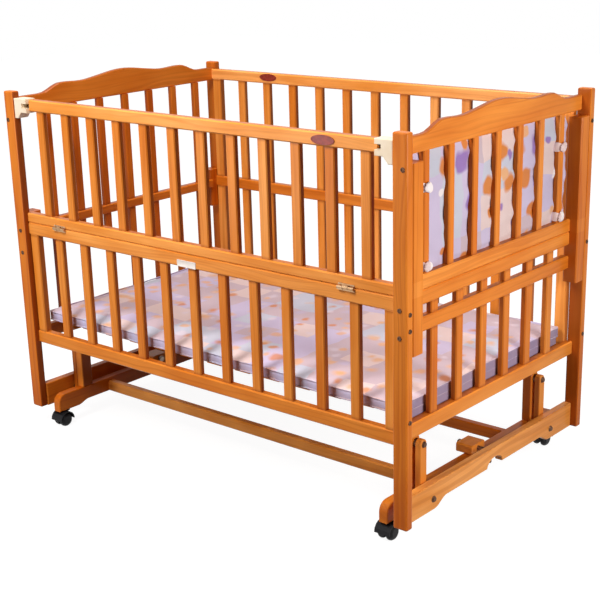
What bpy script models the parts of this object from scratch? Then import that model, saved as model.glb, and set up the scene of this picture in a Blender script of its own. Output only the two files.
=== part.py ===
# A pine cradle crib. The bed hangs by four short links on an inner base with
# casters, so it can swing to the front and back. The upper half of its front
# is a gate that folds down on two butt hinges.
#
# Metres, +Z up. The origin is on the floor, at the middle of the crib. +X is
# the right end and -Y is the front.

import math

import bmesh
import bpy
from mathutils import Vector

# Overall sizes
crib_length = 1.040
crib_width = 0.626
post_height = 0.706
floor_to_post = 0.044

# Fits
touch_gap = 0.0003
running_gap = 0.0004
joint_depth = 0.006
flush_depth = 0.001
cut_overrun = 0.004

# Corner posts
post_thickness = 0.030
post_depth = 0.018
post_ease = 0.003

# Rails and slats of every panel
rail_thickness = 0.018
rail_ease = 0.0025
slat_width = 0.022
slat_thickness = 0.012
slat_ease = 0.002
stile_width = 0.025
stile_thickness = 0.016

# Heights above the foot of the posts
lower_rail_bottom = 0.153
lower_rail_height = 0.028
waist_bottom = 0.3985
waist_height = 0.027
gate_rail_height = 0.0205
top_rail_height = 0.024
top_rail_drop = 0.016

# Long sides
side_setback = 0.011
gate_slat_count = 12
gate_slat_margin = 0.0654
side_slat_count = 11
side_slat_margin = 0.093
rear_middle_rail_bottom = 0.405
rear_middle_rail_height = 0.025

# Ends
end_setback = 0.018
end_stile_depth = 0.030
end_stile_bottom = 0.322
crest_post_drop = 0.042
end_upper_slat_count = 7
end_upper_slat_margin = 0.0382
end_upper_slat_width = 0.018
end_lower_slat_count = 6
end_lower_slat_margin = 0.0647
end_bottom_rail_bottom = 0.159
end_bottom_rail_height = 0.029
end_slot_height = 0.022
end_middle_rail_height = 0.027
cleat_drop = 0.010
cleat_height = 0.015
cleat_depth = 0.015
cleat_end_inset = 0.065
end_stile_top_gap = 0.010
left_block_bottom = 0.356
left_block_top = 0.446
left_rail_bottom = 0.4035
left_rail_height = 0.020

# Crest rail of an end
crest_thickness = 0.012
crest_ease = 0.002
crest_end_height = 0.0295
crest_shoulder_rise = 0.017
crest_shoulder_start = 0.180
crest_shoulder_fall = 0.058
crest_hump_rise = 0.0112
crest_hump_half = 0.115
crest_dip = 0.002
crest_dip_place = 0.125
crest_dip_half = 0.045

# Low board between the posts of an end
low_board_setback = 0.014
low_board_thickness = 0.018
low_board_top = 0.052
low_board_rise = 0.015
low_board_foot_length = 0.090
low_board_curve_length = 0.038
board_ease = 0.0015
arch_half_width = 0.027
arch_height = 0.017

# Inner base
foot_inset = 0.054
foot_thickness = 0.020
foot_end_gap = 0.016
foot_bottom = -0.007
foot_rise = 0.008
foot_top = 0.032
foot_pad_length = 0.056
foot_curve_length = 0.030
foot_corner_radius = 0.020
upright_width = 0.028
upright_top = 0.140
stretcher_thickness = 0.018
stretcher_height = 0.024
stretcher_inset = 0.163

# Swing links and their pivots
pivot_inset = 0.103
lower_pivot_height = 0.022
upper_pivot_height = 0.124
link_width = 0.020
link_thickness = 0.013
link_inner_gap = 0.005
link_ease = 0.0015
pivot_radius = 0.004
pivot_head_radius = 0.0065
pivot_head_height = 0.0035
pivot_collar_radius = 0.009
pivot_nut_radius = 0.0065
pivot_nut_height = 0.003

# Swing lock and swing stop
lock_block_length = 0.046
lock_block_height = 0.019
lock_block_overhang = 0.016
lock_bolt_radius = 0.004
lock_travel = 0.003
lock_knob_radius = 0.007
lock_knob_length = 0.006
stop_pin_radius = 0.004
stop_pin_height = 0.020
stop_pin_reach = 0.030

# Gate hinges, pins and catches
hinge_inset = 0.136
hinge_length = 0.036
hinge_leaf_height = 0.0065
hinge_leaf_thickness = 0.0012
hinge_barrel_radius = 0.0028
gate_pin_radius = 0.004
gate_pin_length = 0.011
gate_pin_seat = 0.008
catch_width = 0.0377
catch_depth = 0.027
catch_front = 0.002
catch_height = 0.041
catch_toe_width = 0.010
catch_neck_height = 0.029
catch_slot_width = 0.014
catch_slot_play = 0.0008
catch_top_drop = 0.014
catch_ease = 0.001

# Bed base and soft parts
bed_slat_count = 13
bed_slat_width = 0.042
bed_slat_thickness = 0.0094
bed_batten_width = 0.022
bed_batten_height = 0.010
bed_batten_inset = 0.075
bed_end_gap = 0.006
bed_side_gap = 0.035
mattress_side_gap = 0.009
mattress_end_gap = 0.006
mattress_thickness = 0.029
mattress_draw = 0.004
pad_crown_fall_share = 0.06
bumper_end_gap = 0.023
bumper_height = 0.208
bumper_thickness = 0.030
bumper_draw = 0.004
bumper_bulge = 0.003
bumper_slat_margin = 0.002

# Casters
caster_inset = 0.024
caster_trail = 0.009
wheel_radius = 0.016
wheel_width = 0.011
wheel_gap = 0.012
wheel_dome_shares = ((0, 0.96), (0.2, 1), (0.5, 0.97), (0.8, 0.82), (1, 0.55))
axle_radius = 0.003
hood_clearance = 0.0012
hood_thickness = 0.0024
hood_web = 0.010
swivel_radius = 0.010
swivel_height = 0.0022
stem_radius = 0.004
stem_length = 0.018

# Faces
round_steps = 12
wheel_steps = 20
curve_steps = 8
crest_steps = 44
edge_steps = 3
mattress_steps = (14, 6)
bumper_rows = 5
bumper_bulge_steps = 4
round_profile_share = 0.5

# Colours, from the varnished pine and its fittings
pine_colour = (0.64, 0.27, 0.055, 1.0)
crest_colour = (0.66, 0.28, 0.06, 1.0)
steel_colour = (0.42, 0.40, 0.38, 1.0)
brass_colour = (0.55, 0.38, 0.14, 1.0)
catch_colour = (0.82, 0.80, 0.74, 1.0)
caster_colour = (0.012, 0.012, 0.013, 1.0)
fabric_colour = (0.62, 0.57, 0.70, 1.0)

# Sizes that follow from the ones above
half_length = crib_length / 2
half_width = crib_width / 2
post_top = floor_to_post + post_height
post_inner_x = half_length - post_thickness
post_inner_y = half_width - post_depth
side_face_y = half_width - side_setback
end_face_x = half_length - end_setback
waist_seam = floor_to_post + waist_bottom + waist_height
stile_inner_y = post_inner_y - touch_gap - end_stile_depth
gate_slat_pitch = 2 * (post_inner_x - gate_slat_margin) / (gate_slat_count - 1)
side_slat_pitch = 2 * (post_inner_x - side_slat_margin) / (side_slat_count - 1)
end_upper_slat_pitch = 2 * (stile_inner_y - end_upper_slat_margin) / (end_upper_slat_count - 1)
end_lower_slat_pitch = 2 * (stile_inner_y - end_lower_slat_margin) / (end_lower_slat_count - 1)
gate_top = post_top - top_rail_drop
gate_half_top = post_inner_x - touch_gap - catch_width - touch_gap
crest_bottom = post_top - crest_post_drop
end_bottom_rail_top = floor_to_post + end_bottom_rail_bottom + end_bottom_rail_height
end_rail_inner_x = end_face_x - rail_thickness
low_board_outer_x = half_length - low_board_setback
low_board_inner_x = low_board_outer_x - low_board_thickness
foot_outer_x = half_length - foot_inset
foot_inner_x = foot_outer_x - foot_thickness
foot_top_z = floor_to_post + foot_top
lock_bolt_z = foot_top_z + touch_gap + lock_block_height / 2
bed_bottom = end_bottom_rail_top - cleat_drop + touch_gap
bed_top = bed_bottom + bed_batten_height - flush_depth + bed_slat_thickness
link_inner_x = foot_outer_x + link_inner_gap
link_outer_x = link_inner_x + link_thickness
lower_pivot_z = floor_to_post + lower_pivot_height
upper_pivot_z = floor_to_post + upper_pivot_height
pivot_y = half_width - pivot_inset
hinge_axis_y = -side_face_y - hinge_barrel_radius - hinge_leaf_thickness
caster_top = floor_to_post + foot_bottom
caster_x = foot_outer_x - foot_thickness / 2
caster_y = half_width - foot_end_gap - caster_inset


def clear_scene():
    for item in list(bpy.data.objects):
        bpy.data.objects.remove(item, do_unlink=True)


def make_material(name, colour, roughness, metallic=0.0):
    material = bpy.data.materials.new(name)
    material.use_nodes = True
    shader = material.node_tree.nodes["Principled BSDF"]
    shader.inputs["Base Color"].default_value = colour
    shader.inputs["Roughness"].default_value = roughness
    shader.inputs["Metallic"].default_value = metallic
    return material


def carrier(name, place, parent=None):
    """An empty on a joint's axis, which the pieces of one moving body hang from."""
    empty = bpy.data.objects.new(name, None)
    bpy.context.collection.objects.link(empty)
    empty["world_place"] = place
    if parent is None:
        empty.location = place
    else:
        empty.parent = parent
        empty.location = Vector(place) - Vector(parent["world_place"])
    return empty


def finish(name, bm, material, body, smooth_angle=None):
    """Turns a bmesh in crib coordinates into the named piece of a body."""
    bmesh.ops.recalc_face_normals(bm, faces=bm.faces)
    mesh = bpy.data.meshes.new(name)
    bm.to_mesh(mesh)
    bm.free()
    mesh.materials.append(material)
    piece = bpy.data.objects.new(name, mesh)
    bpy.context.collection.objects.link(piece)
    piece.parent = body
    piece.location = -Vector(body["world_place"])
    if smooth_angle is not None:
        mesh.shade_smooth()
        mesh.set_sharp_from_angle(angle=smooth_angle)
    return piece


def boolean(first, second, operation):
    """The union or difference of two bmeshes, as a new bmesh."""
    pieces = []
    for bm in (first, second):
        bmesh.ops.recalc_face_normals(bm, faces=bm.faces)
        mesh = bpy.data.meshes.new("shape")
        bm.to_mesh(mesh)
        bm.free()
        piece = bpy.data.objects.new("shape", mesh)
        bpy.context.collection.objects.link(piece)
        pieces.append(piece)
    modifier = pieces[0].modifiers.new("join", 'BOOLEAN')
    modifier.operation = operation
    modifier.solver = 'EXACT'
    modifier.object = pieces[1]
    graph = bpy.context.evaluated_depsgraph_get()
    shaped = pieces[0].evaluated_get(graph)
    result = bmesh.new()
    result.from_mesh(shaped.to_mesh())
    shaped.to_mesh_clear()
    for piece in pieces:
        mesh = piece.data
        bpy.data.objects.remove(piece, do_unlink=True)
        bpy.data.meshes.remove(mesh)
    return result


def axis_point(axis, along, across, up):
    """A point given along an axis and in the plane square to it."""
    if axis == 'X':
        return (along, across, up)
    if axis == 'Y':
        return (across, along, up)
    return (across, up, along)


def add_prism(bm, outline, axis, start, end):
    """Extrudes a closed outline between two places on an axis."""
    near = [bm.verts.new(axis_point(axis, start, u, v)) for u, v in outline]
    far = [bm.verts.new(axis_point(axis, end, u, v)) for u, v in outline]
    count = len(outline)
    bm.faces.new(near)
    bm.faces.new(far[::-1])
    for i in range(count):
        j = (i + 1) % count
        bm.faces.new((near[i], far[i], far[j], near[j]))


def eased_plate(outline, axis, start, end, ease, segments=1):
    """A prism whose two outlines have their edges taken off."""
    bm = bmesh.new()
    add_prism(bm, outline, axis, start, end)
    bmesh.ops.recalc_face_normals(bm, faces=bm.faces)
    caps = [face for face in bm.faces if len(face.verts) == len(outline)]
    rims = {edge for face in caps for edge in face.edges}
    if len(outline) == 4:
        rims = set(bm.edges)
    bmesh.ops.bevel(bm, geom=list(rims), offset=ease, segments=segments,
                    profile=round_profile_share, affect='EDGES')
    return bm


def eased_rectangle(u_low, u_high, v_low, v_high, ease):
    """A rectangle with its four corners taken off."""
    return [(u_low + ease, v_low), (u_high - ease, v_low),
            (u_high, v_low + ease), (u_high, v_high - ease),
            (u_high - ease, v_high), (u_low + ease, v_high),
            (u_low, v_high - ease), (u_low, v_low + ease)]


def add_bar(bm, axis, start, end, u_low, u_high, v_low, v_high, ease):
    add_prism(bm, eased_rectangle(u_low, u_high, v_low, v_high, ease), axis, start, end)


def add_turned(bm, profile, axis, centre, steps):
    """Turns a profile of (along, radius) points round an axis.

    The profile starts and ends on the axis, at a radius of zero.
    """
    centre = Vector(centre)
    rings = []
    for along, radius in profile:
        if radius == 0:
            rings.append([bm.verts.new(centre + Vector(axis_point(axis, along, 0, 0)))])
            continue
        ring = []
        for step in range(steps):
            angle = 2 * math.pi * step / steps
            across = radius * math.cos(angle)
            up = radius * math.sin(angle)
            ring.append(bm.verts.new(centre + Vector(axis_point(axis, along, across, up))))
        rings.append(ring)
    for first, second in zip(rings, rings[1:]):
        for i in range(steps):
            j = (i + 1) % steps
            if len(first) == 1:
                bm.faces.new((first[0], second[i], second[j]))
            elif len(second) == 1:
                bm.faces.new((first[i], second[0], first[j]))
            else:
                bm.faces.new((first[i], second[i], second[j], first[j]))


def turned(profile, axis, centre, steps=round_steps):
    bm = bmesh.new()
    add_turned(bm, profile, axis, centre, steps)
    return bm


def rod(axis, centre, start, end, radius, steps=round_steps):
    return turned([(start, 0), (start, radius), (end, radius), (end, 0)], axis, centre, steps)


def smooth_step(share):
    share = min(1.0, max(0.0, share))
    return share * share * (3 - 2 * share)


def round_bump(distance, half):
    """One at no distance, falling smoothly to zero at half."""
    if abs(distance) >= half:
        return 0.0
    return math.cos(math.pi / 2 * distance / half) ** 2


def spread(count, pitch):
    """Places of evenly spaced pieces about the middle."""
    return [(i - (count - 1) / 2) * pitch for i in range(count)]


def side_name(sign_x):
    return "right" if sign_x > 0 else "left"


def corner_name(sign_x, sign_y):
    return ("rear" if sign_y > 0 else "front") + "_" + side_name(sign_x)


ends = (-1, 1)
corners = [(x, y) for y in (-1, 1) for x in (-1, 1)]


def between(sign, low, high):
    """A span measured outward from the middle, on one side of it."""
    return (low, high) if sign > 0 else (-high, -low)


# Side panels: long rails with slats between them, front and rear


def add_side_bar(bm, face_sign, half, bottom, height, thickness=rail_thickness):
    y_low, y_high = between(face_sign, side_face_y - rail_thickness, side_face_y)
    inset = (rail_thickness - thickness) / 2
    add_bar(bm, 'X', -half, half, y_low + inset, y_high - inset, bottom, bottom + height, rail_ease)


def add_side_slats(bm, face_sign, places, bottom, top):
    middle = face_sign * (side_face_y - rail_thickness / 2)
    for place in places:
        add_bar(bm, 'Z', bottom - joint_depth, top + joint_depth,
                place - slat_width / 2, place + slat_width / 2,
                middle - slat_thickness / 2, middle + slat_thickness / 2, slat_ease)


def add_side_stiles(bm, face_sign, bottom, top):
    middle = face_sign * (side_face_y - rail_thickness / 2)
    outer = post_inner_x - touch_gap - flush_depth
    for sign in ends:
        x_low, x_high = between(sign, outer - stile_width, outer)
        add_bar(bm, 'Z', bottom - joint_depth, top + joint_depth, x_low, x_high,
                middle - stile_thickness / 2, middle + stile_thickness / 2, slat_ease)


def make_lower_front_panel(pine, crib):
    half = post_inner_x - touch_gap
    low = floor_to_post + lower_rail_bottom
    waist = floor_to_post + waist_bottom
    rails = bmesh.new()
    add_side_bar(rails, -1, half, low, lower_rail_height)
    add_side_bar(rails, -1, half, waist, waist_height - touch_gap)
    uprights = bmesh.new()
    add_side_slats(uprights, -1, spread(side_slat_count, side_slat_pitch),
                   low + lower_rail_height, waist)
    add_side_stiles(uprights, -1, low + lower_rail_height, waist)
    finish("front_lower_panel", boolean(rails, uprights, 'UNION'), pine, crib)


def make_rear_panel(pine, crib):
    half = post_inner_x - touch_gap
    low = floor_to_post + lower_rail_bottom
    middle = floor_to_post + rear_middle_rail_bottom
    high = gate_top - top_rail_height
    rails = bmesh.new()
    add_side_bar(rails, 1, half, low, lower_rail_height)
    add_side_bar(rails, 1, half, middle, rear_middle_rail_height)
    add_side_bar(rails, 1, half, high, top_rail_height)
    uprights = bmesh.new()
    add_side_slats(uprights, 1, spread(side_slat_count, side_slat_pitch),
                   low + lower_rail_height, high)
    add_side_stiles(uprights, 1, low + lower_rail_height, high)
    finish("rear_panel", boolean(rails, uprights, 'UNION'), pine, crib)


def make_gate(pine, gate):
    high = gate_top - top_rail_height
    rails = bmesh.new()
    add_side_bar(rails, -1, post_inner_x - touch_gap, waist_seam, gate_rail_height)
    add_side_bar(rails, -1, gate_half_top, high, top_rail_height)
    slats = bmesh.new()
    add_side_slats(slats, -1, spread(gate_slat_count, gate_slat_pitch),
                   waist_seam + gate_rail_height, high)
    frame = boolean(rails, slats, 'UNION')
    middle_y = -side_face_y + rail_thickness / 2
    for sign in ends:
        start = gate_half_top - gate_pin_seat
        seat = rod('X', (0, middle_y, high + top_rail_height / 2), sign * start,
                   sign * (gate_half_top + cut_overrun), gate_pin_radius + touch_gap)
        frame = boolean(frame, seat, 'DIFFERENCE')
    finish("front_gate", frame, pine, gate)


def make_gate_pins(steel, gate):
    """A pin in each end of the gate's top rail, which drops into its catch."""
    middle_y = -side_face_y + rail_thickness / 2
    middle_z = gate_top - top_rail_height / 2
    chamfer = gate_pin_radius / 4
    for sign in ends:
        start = gate_half_top - gate_pin_seat + touch_gap
        end = gate_half_top + gate_pin_length
        profile = [(sign * start, 0), (sign * start, gate_pin_radius),
                   (sign * (end - chamfer), gate_pin_radius),
                   (sign * end, gate_pin_radius - chamfer), (sign * end, 0)]
        pin = turned(profile, 'X', (0, middle_y, middle_z))
        finish("gate_pin_" + side_name(sign), pin, steel, gate, math.radians(40))


def make_catches(plastic, crib):
    """A plastic catch on each front post, with a slot open to the front for the gate's pin."""
    top = post_top - catch_top_drop
    neck = top - catch_neck_height
    toe = top - catch_height
    slot_middle = gate_top - top_rail_height / 2
    slot_half = gate_pin_radius + catch_slot_play
    pin_y = -side_face_y + rail_thickness / 2
    for sign in ends:
        outer = post_inner_x - touch_gap
        inner = outer - catch_width
        toe_inner = outer - catch_toe_width
        outline = [(inner, neck), (inner, top), (outer, top), (outer, toe),
                   (toe_inner, toe), (toe_inner - catch_toe_width, neck)]
        outline = [(sign * x, z) for x, z in outline]
        front = -half_width + catch_front
        body = eased_plate(outline, 'Y', front, front + catch_depth, catch_ease)
        slot = bmesh.new()
        low, high = between(sign, inner - cut_overrun, inner + catch_slot_width)
        add_bar(slot, 'X', low, high, front - cut_overrun, pin_y + slot_half,
                slot_middle - slot_half, slot_middle + slot_half, running_gap)
        finish("catch_" + side_name(sign), boolean(body, slot, 'DIFFERENCE'), plastic, crib)


def make_hinges(brass, crib, gate):
    """Butt hinges over the seam: the panel's leaf has the two outer knuckles."""
    face = -side_face_y - touch_gap
    knuckle = hinge_length / 3
    for sign in ends:
        middle = sign * (half_length - hinge_inset)
        edges = [middle - hinge_length / 2 + knuckle * i for i in range(4)]
        centre = (0, hinge_axis_y, waist_seam)
        for name, body, direction, spans in (
                ("hinge_leaf_gate_", gate, 1, [(edges[1], edges[2])]),
                ("hinge_leaf_panel_", crib, -1, [(edges[0], edges[1]), (edges[2], edges[3])])):
            leaf = bmesh.new()
            start = waist_seam + direction * (hinge_barrel_radius + running_gap)
            end = waist_seam + direction * hinge_leaf_height
            low, high = sorted((start, end))
            add_prism(leaf, [(face, low), (face, high), (face - hinge_leaf_thickness, high),
                             (face - hinge_leaf_thickness, low)], 'X', edges[0], edges[3])
            for first, last in spans:
                inner = first + running_gap if first != edges[0] else first
                outer = last - running_gap if last != edges[3] else last
                barrel = rod('X', centre, inner, outer, hinge_barrel_radius)
                leaf = boolean(leaf, barrel, 'UNION')
                web = bmesh.new()
                reach = waist_seam + direction * hinge_barrel_radius / 2
                low, high = sorted((reach, start + direction * flush_depth))
                add_prism(web, [(hinge_axis_y - hinge_barrel_radius / 2, low),
                                (hinge_axis_y - hinge_barrel_radius / 2, high),
                                (face - flush_depth / 4, high), (face - flush_depth / 4, low)],
                          'X', inner, outer)
                leaf = boolean(leaf, web, 'UNION')
            finish(name + side_name(sign), leaf, brass, body)


# Ends: posts, upper frame, lower panel, crest and low board


def make_posts(pine, crib):
    for sign_x, sign_y in corners:
        x_low, x_high = between(sign_x, post_inner_x, half_length)
        y_low, y_high = between(sign_y, post_inner_y, half_width)
        outline = [(x_low, y_low), (x_high, y_low), (x_high, y_high), (x_low, y_high)]
        bm = eased_plate(outline, 'Z', floor_to_post, post_top, post_ease, segments=2)
        finish("post_" + corner_name(sign_x, sign_y), bm, pine, crib)


def add_end_rail(bm, sign, half, bottom, height):
    x_low, x_high = between(sign, end_rail_inner_x, end_face_x)
    add_bar(bm, 'Y', -half, half, x_low, x_high, bottom, bottom + height, rail_ease)


def add_end_slats(bm, sign, places, width, bottom, top):
    middle = sign * (end_face_x - rail_thickness / 2)
    for place in places:
        add_bar(bm, 'Z', bottom, top, middle - slat_thickness / 2, middle + slat_thickness / 2,
                place - width / 2, place + width / 2, slat_ease)


def make_upper_end_frame(sign, pine, crib):
    """Two stiles beside the posts, a rail between them, and the slats under the crest.

    The right end's slats stand on its rail. The left end has only short blocks for
    stiles, and its slats run through its lower, thinner rail to the bottom rail.
    """
    top = crest_bottom - touch_gap
    if sign > 0:
        rail_bottom, rail_height = waist_seam, waist_height - touch_gap
        stile_bottom = floor_to_post + end_stile_bottom
        stile_top = crest_bottom - end_stile_top_gap
        slat_bottom = rail_bottom + waist_height - joint_depth
    else:
        rail_bottom, rail_height = floor_to_post + left_rail_bottom, left_rail_height
        stile_bottom = floor_to_post + left_block_bottom
        stile_top = floor_to_post + left_block_top
        slat_bottom = end_bottom_rail_top + touch_gap
    rails = bmesh.new()
    add_end_rail(rails, sign, stile_inner_y + flush_depth, rail_bottom, rail_height)
    uprights = bmesh.new()
    add_end_slats(uprights, sign, spread(end_upper_slat_count, end_upper_slat_pitch),
                  end_upper_slat_width, slat_bottom, top)
    x_low, x_high = between(sign, post_inner_x, half_length)
    for side in (-1, 1):
        y_low, y_high = between(side, stile_inner_y, stile_inner_y + end_stile_depth)
        add_bar(uprights, 'Z', stile_bottom, stile_top, x_low, x_high, y_low, y_high, slat_ease)
    finish("upper_end_frame_" + side_name(sign), boolean(rails, uprights, 'UNION'), pine, crib)


def make_lower_end_panel(sign, pine, crib):
    """The bottom rail with a cleat behind it for the bed base.

    Its ends are rebated round the rails of the long sides. On the right end it carries the
    rail under the seam, the middle rail below an open row, and the lower slats too.
    """
    half = stile_inner_y - touch_gap
    waist = floor_to_post + waist_bottom
    middle = waist - end_slot_height - end_middle_rail_height
    rails = bmesh.new()
    add_end_rail(rails, sign, post_inner_y - touch_gap,
                 floor_to_post + end_bottom_rail_bottom, end_bottom_rail_height)
    slats = bmesh.new()
    if sign > 0:
        add_end_rail(rails, sign, half, waist, waist_height - touch_gap)
        add_end_rail(rails, sign, half, middle, end_middle_rail_height)
        add_end_slats(slats, sign, spread(end_lower_slat_count, end_lower_slat_pitch),
                      slat_width, end_bottom_rail_top - joint_depth, waist + joint_depth)
    cleat_top = end_bottom_rail_top - cleat_drop
    cleat_half = post_inner_y - cleat_end_inset
    x_low, x_high = between(sign, end_rail_inner_x - cleat_depth, end_rail_inner_x + flush_depth)
    add_bar(slats, 'Y', -cleat_half, cleat_half, x_low, x_high,
            cleat_top - cleat_height, cleat_top, flush_depth / 2)
    panel = boolean(rails, slats, 'UNION')
    rebates = bmesh.new()
    x_low, x_high = between(sign, end_rail_inner_x - cut_overrun, post_inner_x)
    for side in (-1, 1):
        y_low, y_high = between(side, side_face_y - rail_thickness - touch_gap,
                                post_inner_y + cut_overrun)
        add_bar(rebates, 'Z', end_bottom_rail_top - end_bottom_rail_height - cut_overrun,
                end_bottom_rail_top + cut_overrun, x_low, x_high, y_low, y_high, touch_gap)
    panel = boolean(panel, rebates, 'DIFFERENCE')
    finish("lower_end_panel_" + side_name(sign), panel, pine, crib)


def crest_height(y):
    distance = abs(y)
    rise = smooth_step((crest_shoulder_start + crest_shoulder_fall - distance) / crest_shoulder_fall)
    hump = crest_hump_rise * round_bump(distance, crest_hump_half)
    dip = crest_dip * round_bump(distance - crest_dip_place, crest_dip_half)
    return crest_end_height + crest_shoulder_rise * rise + hump - dip


def make_crest(sign, pine, crib):
    """The wavy top rail of an end: a hump in the middle and a shoulder on each side."""
    half = post_inner_y - touch_gap
    top = [-half + 2 * half * i / crest_steps for i in range(crest_steps + 1)]
    outline = [(y, crest_bottom + crest_height(y)) for y in top]
    outline += [(half, crest_bottom), (-half, crest_bottom)]
    x_low, x_high = between(sign, end_face_x - crest_thickness, end_face_x)
    bm = eased_plate(outline, 'X', x_low, x_high, crest_ease)
    finish("crest_rail_" + side_name(sign), bm, pine, crib)


def scalloped_bottom(half, bottom, rise, foot_length, curve_length):
    """The lower edge of a board: a foot at each end and a smooth curve up between them."""
    start = half - foot_length - curve_length
    points = []
    for i in range(curve_steps + 1):
        y = start + curve_length * i / curve_steps
        points.append((y, bottom + rise * smooth_step((half - foot_length - y) / curve_length)))
    return [(half, bottom)] + points[::-1]


def mirrored(points):
    return points + [(-u, v) for u, v in reversed(points)]


def make_low_board(sign, pine, crib):
    """The low board of an end, which the links carry the crib by."""
    half = post_inner_y - touch_gap
    top = floor_to_post + low_board_top
    edge = scalloped_bottom(half, floor_to_post, low_board_rise,
                            low_board_foot_length, low_board_curve_length)
    base = floor_to_post + low_board_rise
    for i in range(curve_steps):
        angle = math.pi / 2 * i / curve_steps
        edge.append((arch_half_width * math.cos(angle), base + arch_height * math.sin(angle)))
    right = [(half, top)] + edge
    outline = right + [(0, base + arch_height)] + [(-u, v) for u, v in reversed(right)]
    x_low, x_high = between(sign, low_board_inner_x, low_board_outer_x)
    board = eased_plate(outline, 'X', x_low, x_high, board_ease)
    for side in (-1, 1):
        hole = rod('X', (0, side * pivot_y, lower_pivot_z), x_low - cut_overrun,
                   x_high + cut_overrun, pivot_radius + touch_gap)
        board = boolean(board, hole, 'DIFFERENCE')
    finish("low_board_" + side_name(sign), board, pine, crib)


# Inner base


def make_foot_board(sign, pine, base):
    """A foot board with a caster under each end and a hole for each stem."""
    half = half_width - foot_end_gap
    bottom = floor_to_post + foot_bottom
    corner = []
    for i in range(curve_steps + 1):
        angle = math.pi / 2 * i / curve_steps
        corner.append((half - foot_corner_radius + foot_corner_radius * math.sin(angle),
                       foot_top_z - foot_corner_radius + foot_corner_radius * math.cos(angle)))
    outline = mirrored(corner + scalloped_bottom(half, bottom, foot_rise,
                                                 foot_pad_length, foot_curve_length))
    x_low, x_high = between(sign, foot_inner_x, foot_outer_x)
    board = eased_plate(outline, 'X', x_low, x_high, board_ease)
    for side in (-1, 1):
        hole = rod('Z', (sign * caster_x, side * caster_y, 0), bottom - cut_overrun,
                   bottom + stem_length + touch_gap, stem_radius + running_gap)
        board = boolean(board, hole, 'DIFFERENCE')
    hole = rod('X', (0, 0, floor_to_post + stop_pin_height), x_low - cut_overrun,
               x_high + cut_overrun, stop_pin_radius + touch_gap)
    board = boolean(board, hole, 'DIFFERENCE')
    finish("foot_board_" + side_name(sign), board, pine, base)


def make_upright(sign_x, sign_y, pine, base):
    """An upright on the foot board, with a round top and the upper pivot's hole."""
    middle = sign_y * pivot_y
    radius = upright_width / 2
    top = floor_to_post + upright_top - radius
    outline = [(middle - radius, foot_top_z + touch_gap), (middle + radius, foot_top_z + touch_gap)]
    for i in range(curve_steps + 1):
        angle = math.pi * i / curve_steps
        outline.append((middle + radius * math.cos(angle), top + radius * math.sin(angle)))
    x_low, x_high = between(sign_x, foot_inner_x, foot_outer_x)
    bm = eased_plate(outline, 'X', x_low, x_high, board_ease)
    hole = rod('X', (0, middle, upper_pivot_z), x_low - cut_overrun, x_high + cut_overrun,
               pivot_radius + touch_gap)
    finish("upright_" + corner_name(sign_x, sign_y), boolean(bm, hole, 'DIFFERENCE'), pine, base)


def make_stretchers(pine, base):
    half = foot_inner_x - touch_gap
    outer = half_width - stretcher_inset
    bottom = floor_to_post + foot_bottom + foot_rise
    for sign in (-1, 1):
        y_low, y_high = between(sign, outer - stretcher_thickness, outer)
        bm = bmesh.new()
        add_bar(bm, 'X', -half, half, y_low, y_high, bottom, bottom + stretcher_height, rail_ease)
        finish("stretcher_" + ("rear" if sign > 0 else "front"), bm, pine, base)


def make_lock(sign, pine, steel, base, bolt_body):
    """A block on the foot board and its clamp bolt, which presses on the low board."""
    low_x, high_x = between(sign, foot_inner_x - lock_block_overhang, foot_outer_x)
    bottom = foot_top_z + touch_gap
    block = bmesh.new()
    add_bar(block, 'X', low_x, high_x, -lock_block_length / 2, lock_block_length / 2,
            bottom, bottom + lock_block_height, rail_ease)
    centre = (0, 0, lock_bolt_z)
    bore = rod('X', centre, low_x - cut_overrun, high_x + cut_overrun,
               lock_bolt_radius + running_gap)
    finish("lock_block_" + side_name(sign), boolean(block, bore, 'DIFFERENCE'), pine, base)
    tip = low_board_inner_x - running_gap - lock_travel
    knob = foot_inner_x - lock_block_overhang - lock_travel - flush_depth
    end = knob - lock_knob_length
    crown = lock_knob_length / 4
    profile = [(end, 0), (end, lock_knob_radius - crown), (end + crown, lock_knob_radius),
               (knob - crown, lock_knob_radius), (knob, lock_knob_radius - crown),
               (knob, lock_bolt_radius), (tip, lock_bolt_radius), (tip, 0)]
    bolt = turned([(sign * along, radius) for along, radius in profile], 'X', centre)
    finish("lock_bolt_" + side_name(sign), bolt, steel, bolt_body, math.radians(40))


def make_stop_pin(sign, steel, base):
    """A pin through the foot board, which stands in the low board's arch."""
    start = foot_inner_x
    end = foot_outer_x + stop_pin_reach
    chamfer = stop_pin_radius / 4
    profile = [(start, 0), (start, stop_pin_radius), (end - chamfer, stop_pin_radius),
               (end, stop_pin_radius - chamfer), (end, 0)]
    pin = turned([(sign * along, radius) for along, radius in profile], 'X',
                 (0, 0, floor_to_post + stop_pin_height))
    finish("stop_pin_" + side_name(sign), pin, steel, base, math.radians(40))


# Swing links and pivots


def make_link(sign_x, sign_y, pine, body):
    middle = sign_y * pivot_y
    radius = link_width / 2
    outline = []
    for centre_z, start in ((upper_pivot_z, 0), (lower_pivot_z, math.pi)):
        for i in range(curve_steps + 1):
            angle = start + math.pi * i / curve_steps
            outline.append((middle + radius * math.cos(angle), centre_z + radius * math.sin(angle)))
    x_low, x_high = between(sign_x, link_inner_x, link_outer_x)
    link = eased_plate(outline, 'X', x_low, x_high, link_ease)
    for centre_z in (upper_pivot_z, lower_pivot_z):
        hole = rod('X', (0, middle, centre_z), x_low - cut_overrun, x_high + cut_overrun,
                   pivot_radius + running_gap)
        link = boolean(link, hole, 'DIFFERENCE')
    finish("link_" + corner_name(sign_x, sign_y), link, pine, body)


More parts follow.
